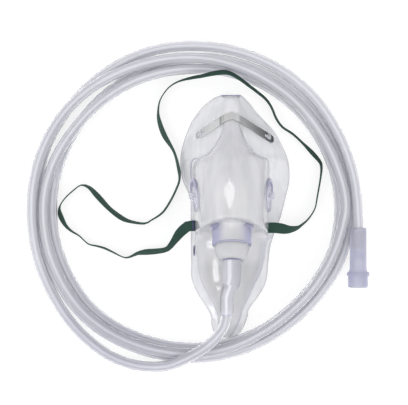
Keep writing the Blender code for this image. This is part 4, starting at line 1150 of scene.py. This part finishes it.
def empty_material(name):
    """A material with nothing in its tree but the output, whose surface socket is given."""
    material = bpy.data.materials.new(name)
    material.use_nodes = True
    tree = material.node_tree
    tree.nodes.clear()
    return material, tree, tree.nodes.new("ShaderNodeOutputMaterial").inputs["Surface"]


def glow_shader(tree, strength):
    glow = tree.nodes.new("ShaderNodeEmission")
    glow.inputs["Strength"].default_value = strength
    return glow.outputs[0]


def build_floor():
    """A pale floor that the camera sees as white, with the object's soft shadow on it."""
    signs = ((-1, -1), (1, -1), (1, 1), (-1, 1))
    corners = [(x * FLOOR_REACH, y * FLOOR_REACH, 0) for x, y in signs]
    floor = new_object("floor", new_mesh("floor", corners, [(0, 1, 2, 3)]))
    floor.location.z = -FLOOR_DROP
    material, tree, surface = empty_material("floor_white")
    diffuse = tree.nodes.new("ShaderNodeBsdfDiffuse")
    diffuse.inputs["Color"].default_value = (0.9, 0.9, 0.9, 1.0)
    mix = tree.nodes.new("ShaderNodeMixShader")
    rays = tree.nodes.new("ShaderNodeLightPath").outputs
    seen = rays["Is Camera Ray"]
    for name in ("Is Glossy Ray", "Is Transmission Ray"):
        seen = math_node(tree, "MAXIMUM", seen, rays[name])
    tree.links.new(map_range(tree, seen, 0.0, 1.0, 0.0, 0.72), mix.inputs["Fac"])
    tree.links.new(diffuse.outputs[0], mix.inputs[1])
    tree.links.new(glow_shader(tree, 1.1), mix.inputs[2])
    tree.links.new(mix.outputs[0], surface)
    floor.data.materials.append(material)


def window_light(name, place, outlines, strength):
    """A window, or a few panes of one, that the glossy plastic reflects."""
    verts = []
    faces = []
    for outline in outlines:
        faces.append(tuple(range(len(verts), len(verts) + len(outline))))
        verts += [(x, y, 0.0) for x, y in outline]
    window = new_object(name, new_mesh(name, verts, faces))
    window.location = place
    window.rotation_euler = (-place).to_track_quat("-Z", "Y").to_euler()
    material, tree, surface = empty_material(name)
    tree.links.new(glow_shader(tree, strength), surface)
    window.data.materials.append(material)


def area_light(name, place, size, power):
    """A square light that points at the origin."""
    light = bpy.data.lights.new(name, "AREA")
    light.size = size
    light.energy = power
    lamp = new_object(name, light)
    lamp.location = place
    lamp.rotation_euler = (-Vector(place)).to_track_quat("-Z", "Y").to_euler()
    lamp.visible_glossy = False


def build_stage():
    scene = bpy.context.scene
    scene.view_settings.view_transform = "Standard"
    world = bpy.data.worlds.new("studio")
    world.use_nodes = True
    background = world.node_tree.nodes["Background"]
    background.inputs["Color"].default_value = (1.0, 1.0, 1.0, 1.0)
    background.inputs["Strength"].default_value = 0.8
    scene.world = world
    build_floor()
    window_light("crest_window", Vector((-0.25, 0.76, 1.58)), CREST_WINDOW, 5.0)
    window_light("side_window", Vector((-0.9, -0.45, 1.4)), SIDE_WINDOW, 7.0)
    area_light("key", (-1.5, 0.7, 1.1), 1.0, 7.0)
    area_light("fill", (1.1, -0.8, 1.1), 1.2, 10.0)
    camera = bpy.data.cameras.new("camera")
    camera.sensor_width = SENSOR_WIDTH
    camera.lens = SENSOR_WIDTH * CAMERA_PLACE[2] / PICTURE_WIDTH
    camera.clip_end = 20.0
    view = new_object("camera", camera)
    view.location = CAMERA_PLACE
    scene.camera = view


def main():
    build_stage()
    adapter = build_adapter()
    cuff = build_cuff()
    connector = build_connector()
    build_tube()
    build_strap()
    build_skin(shell_look())
    build_collar(collar_look())
    vent = vent_look()
    build_vents(vent)
    build_rivets(vent)
    violet = edge_look("thick_edge_plastic", (0.36, 0.36, 0.52))
    pale = edge_look("thin_edge_plastic", (0.50, 0.50, 0.66))
    # The dark beads: painted shade in the strap slot, and the flange's fold.
    build_edges(violet, pale, edge_look("dark_shade_and_fold_plastic", (0.10, 0.11, 0.22)))
    build_nose_lip(violet)
    use_material("nose_clip", metal())


main()
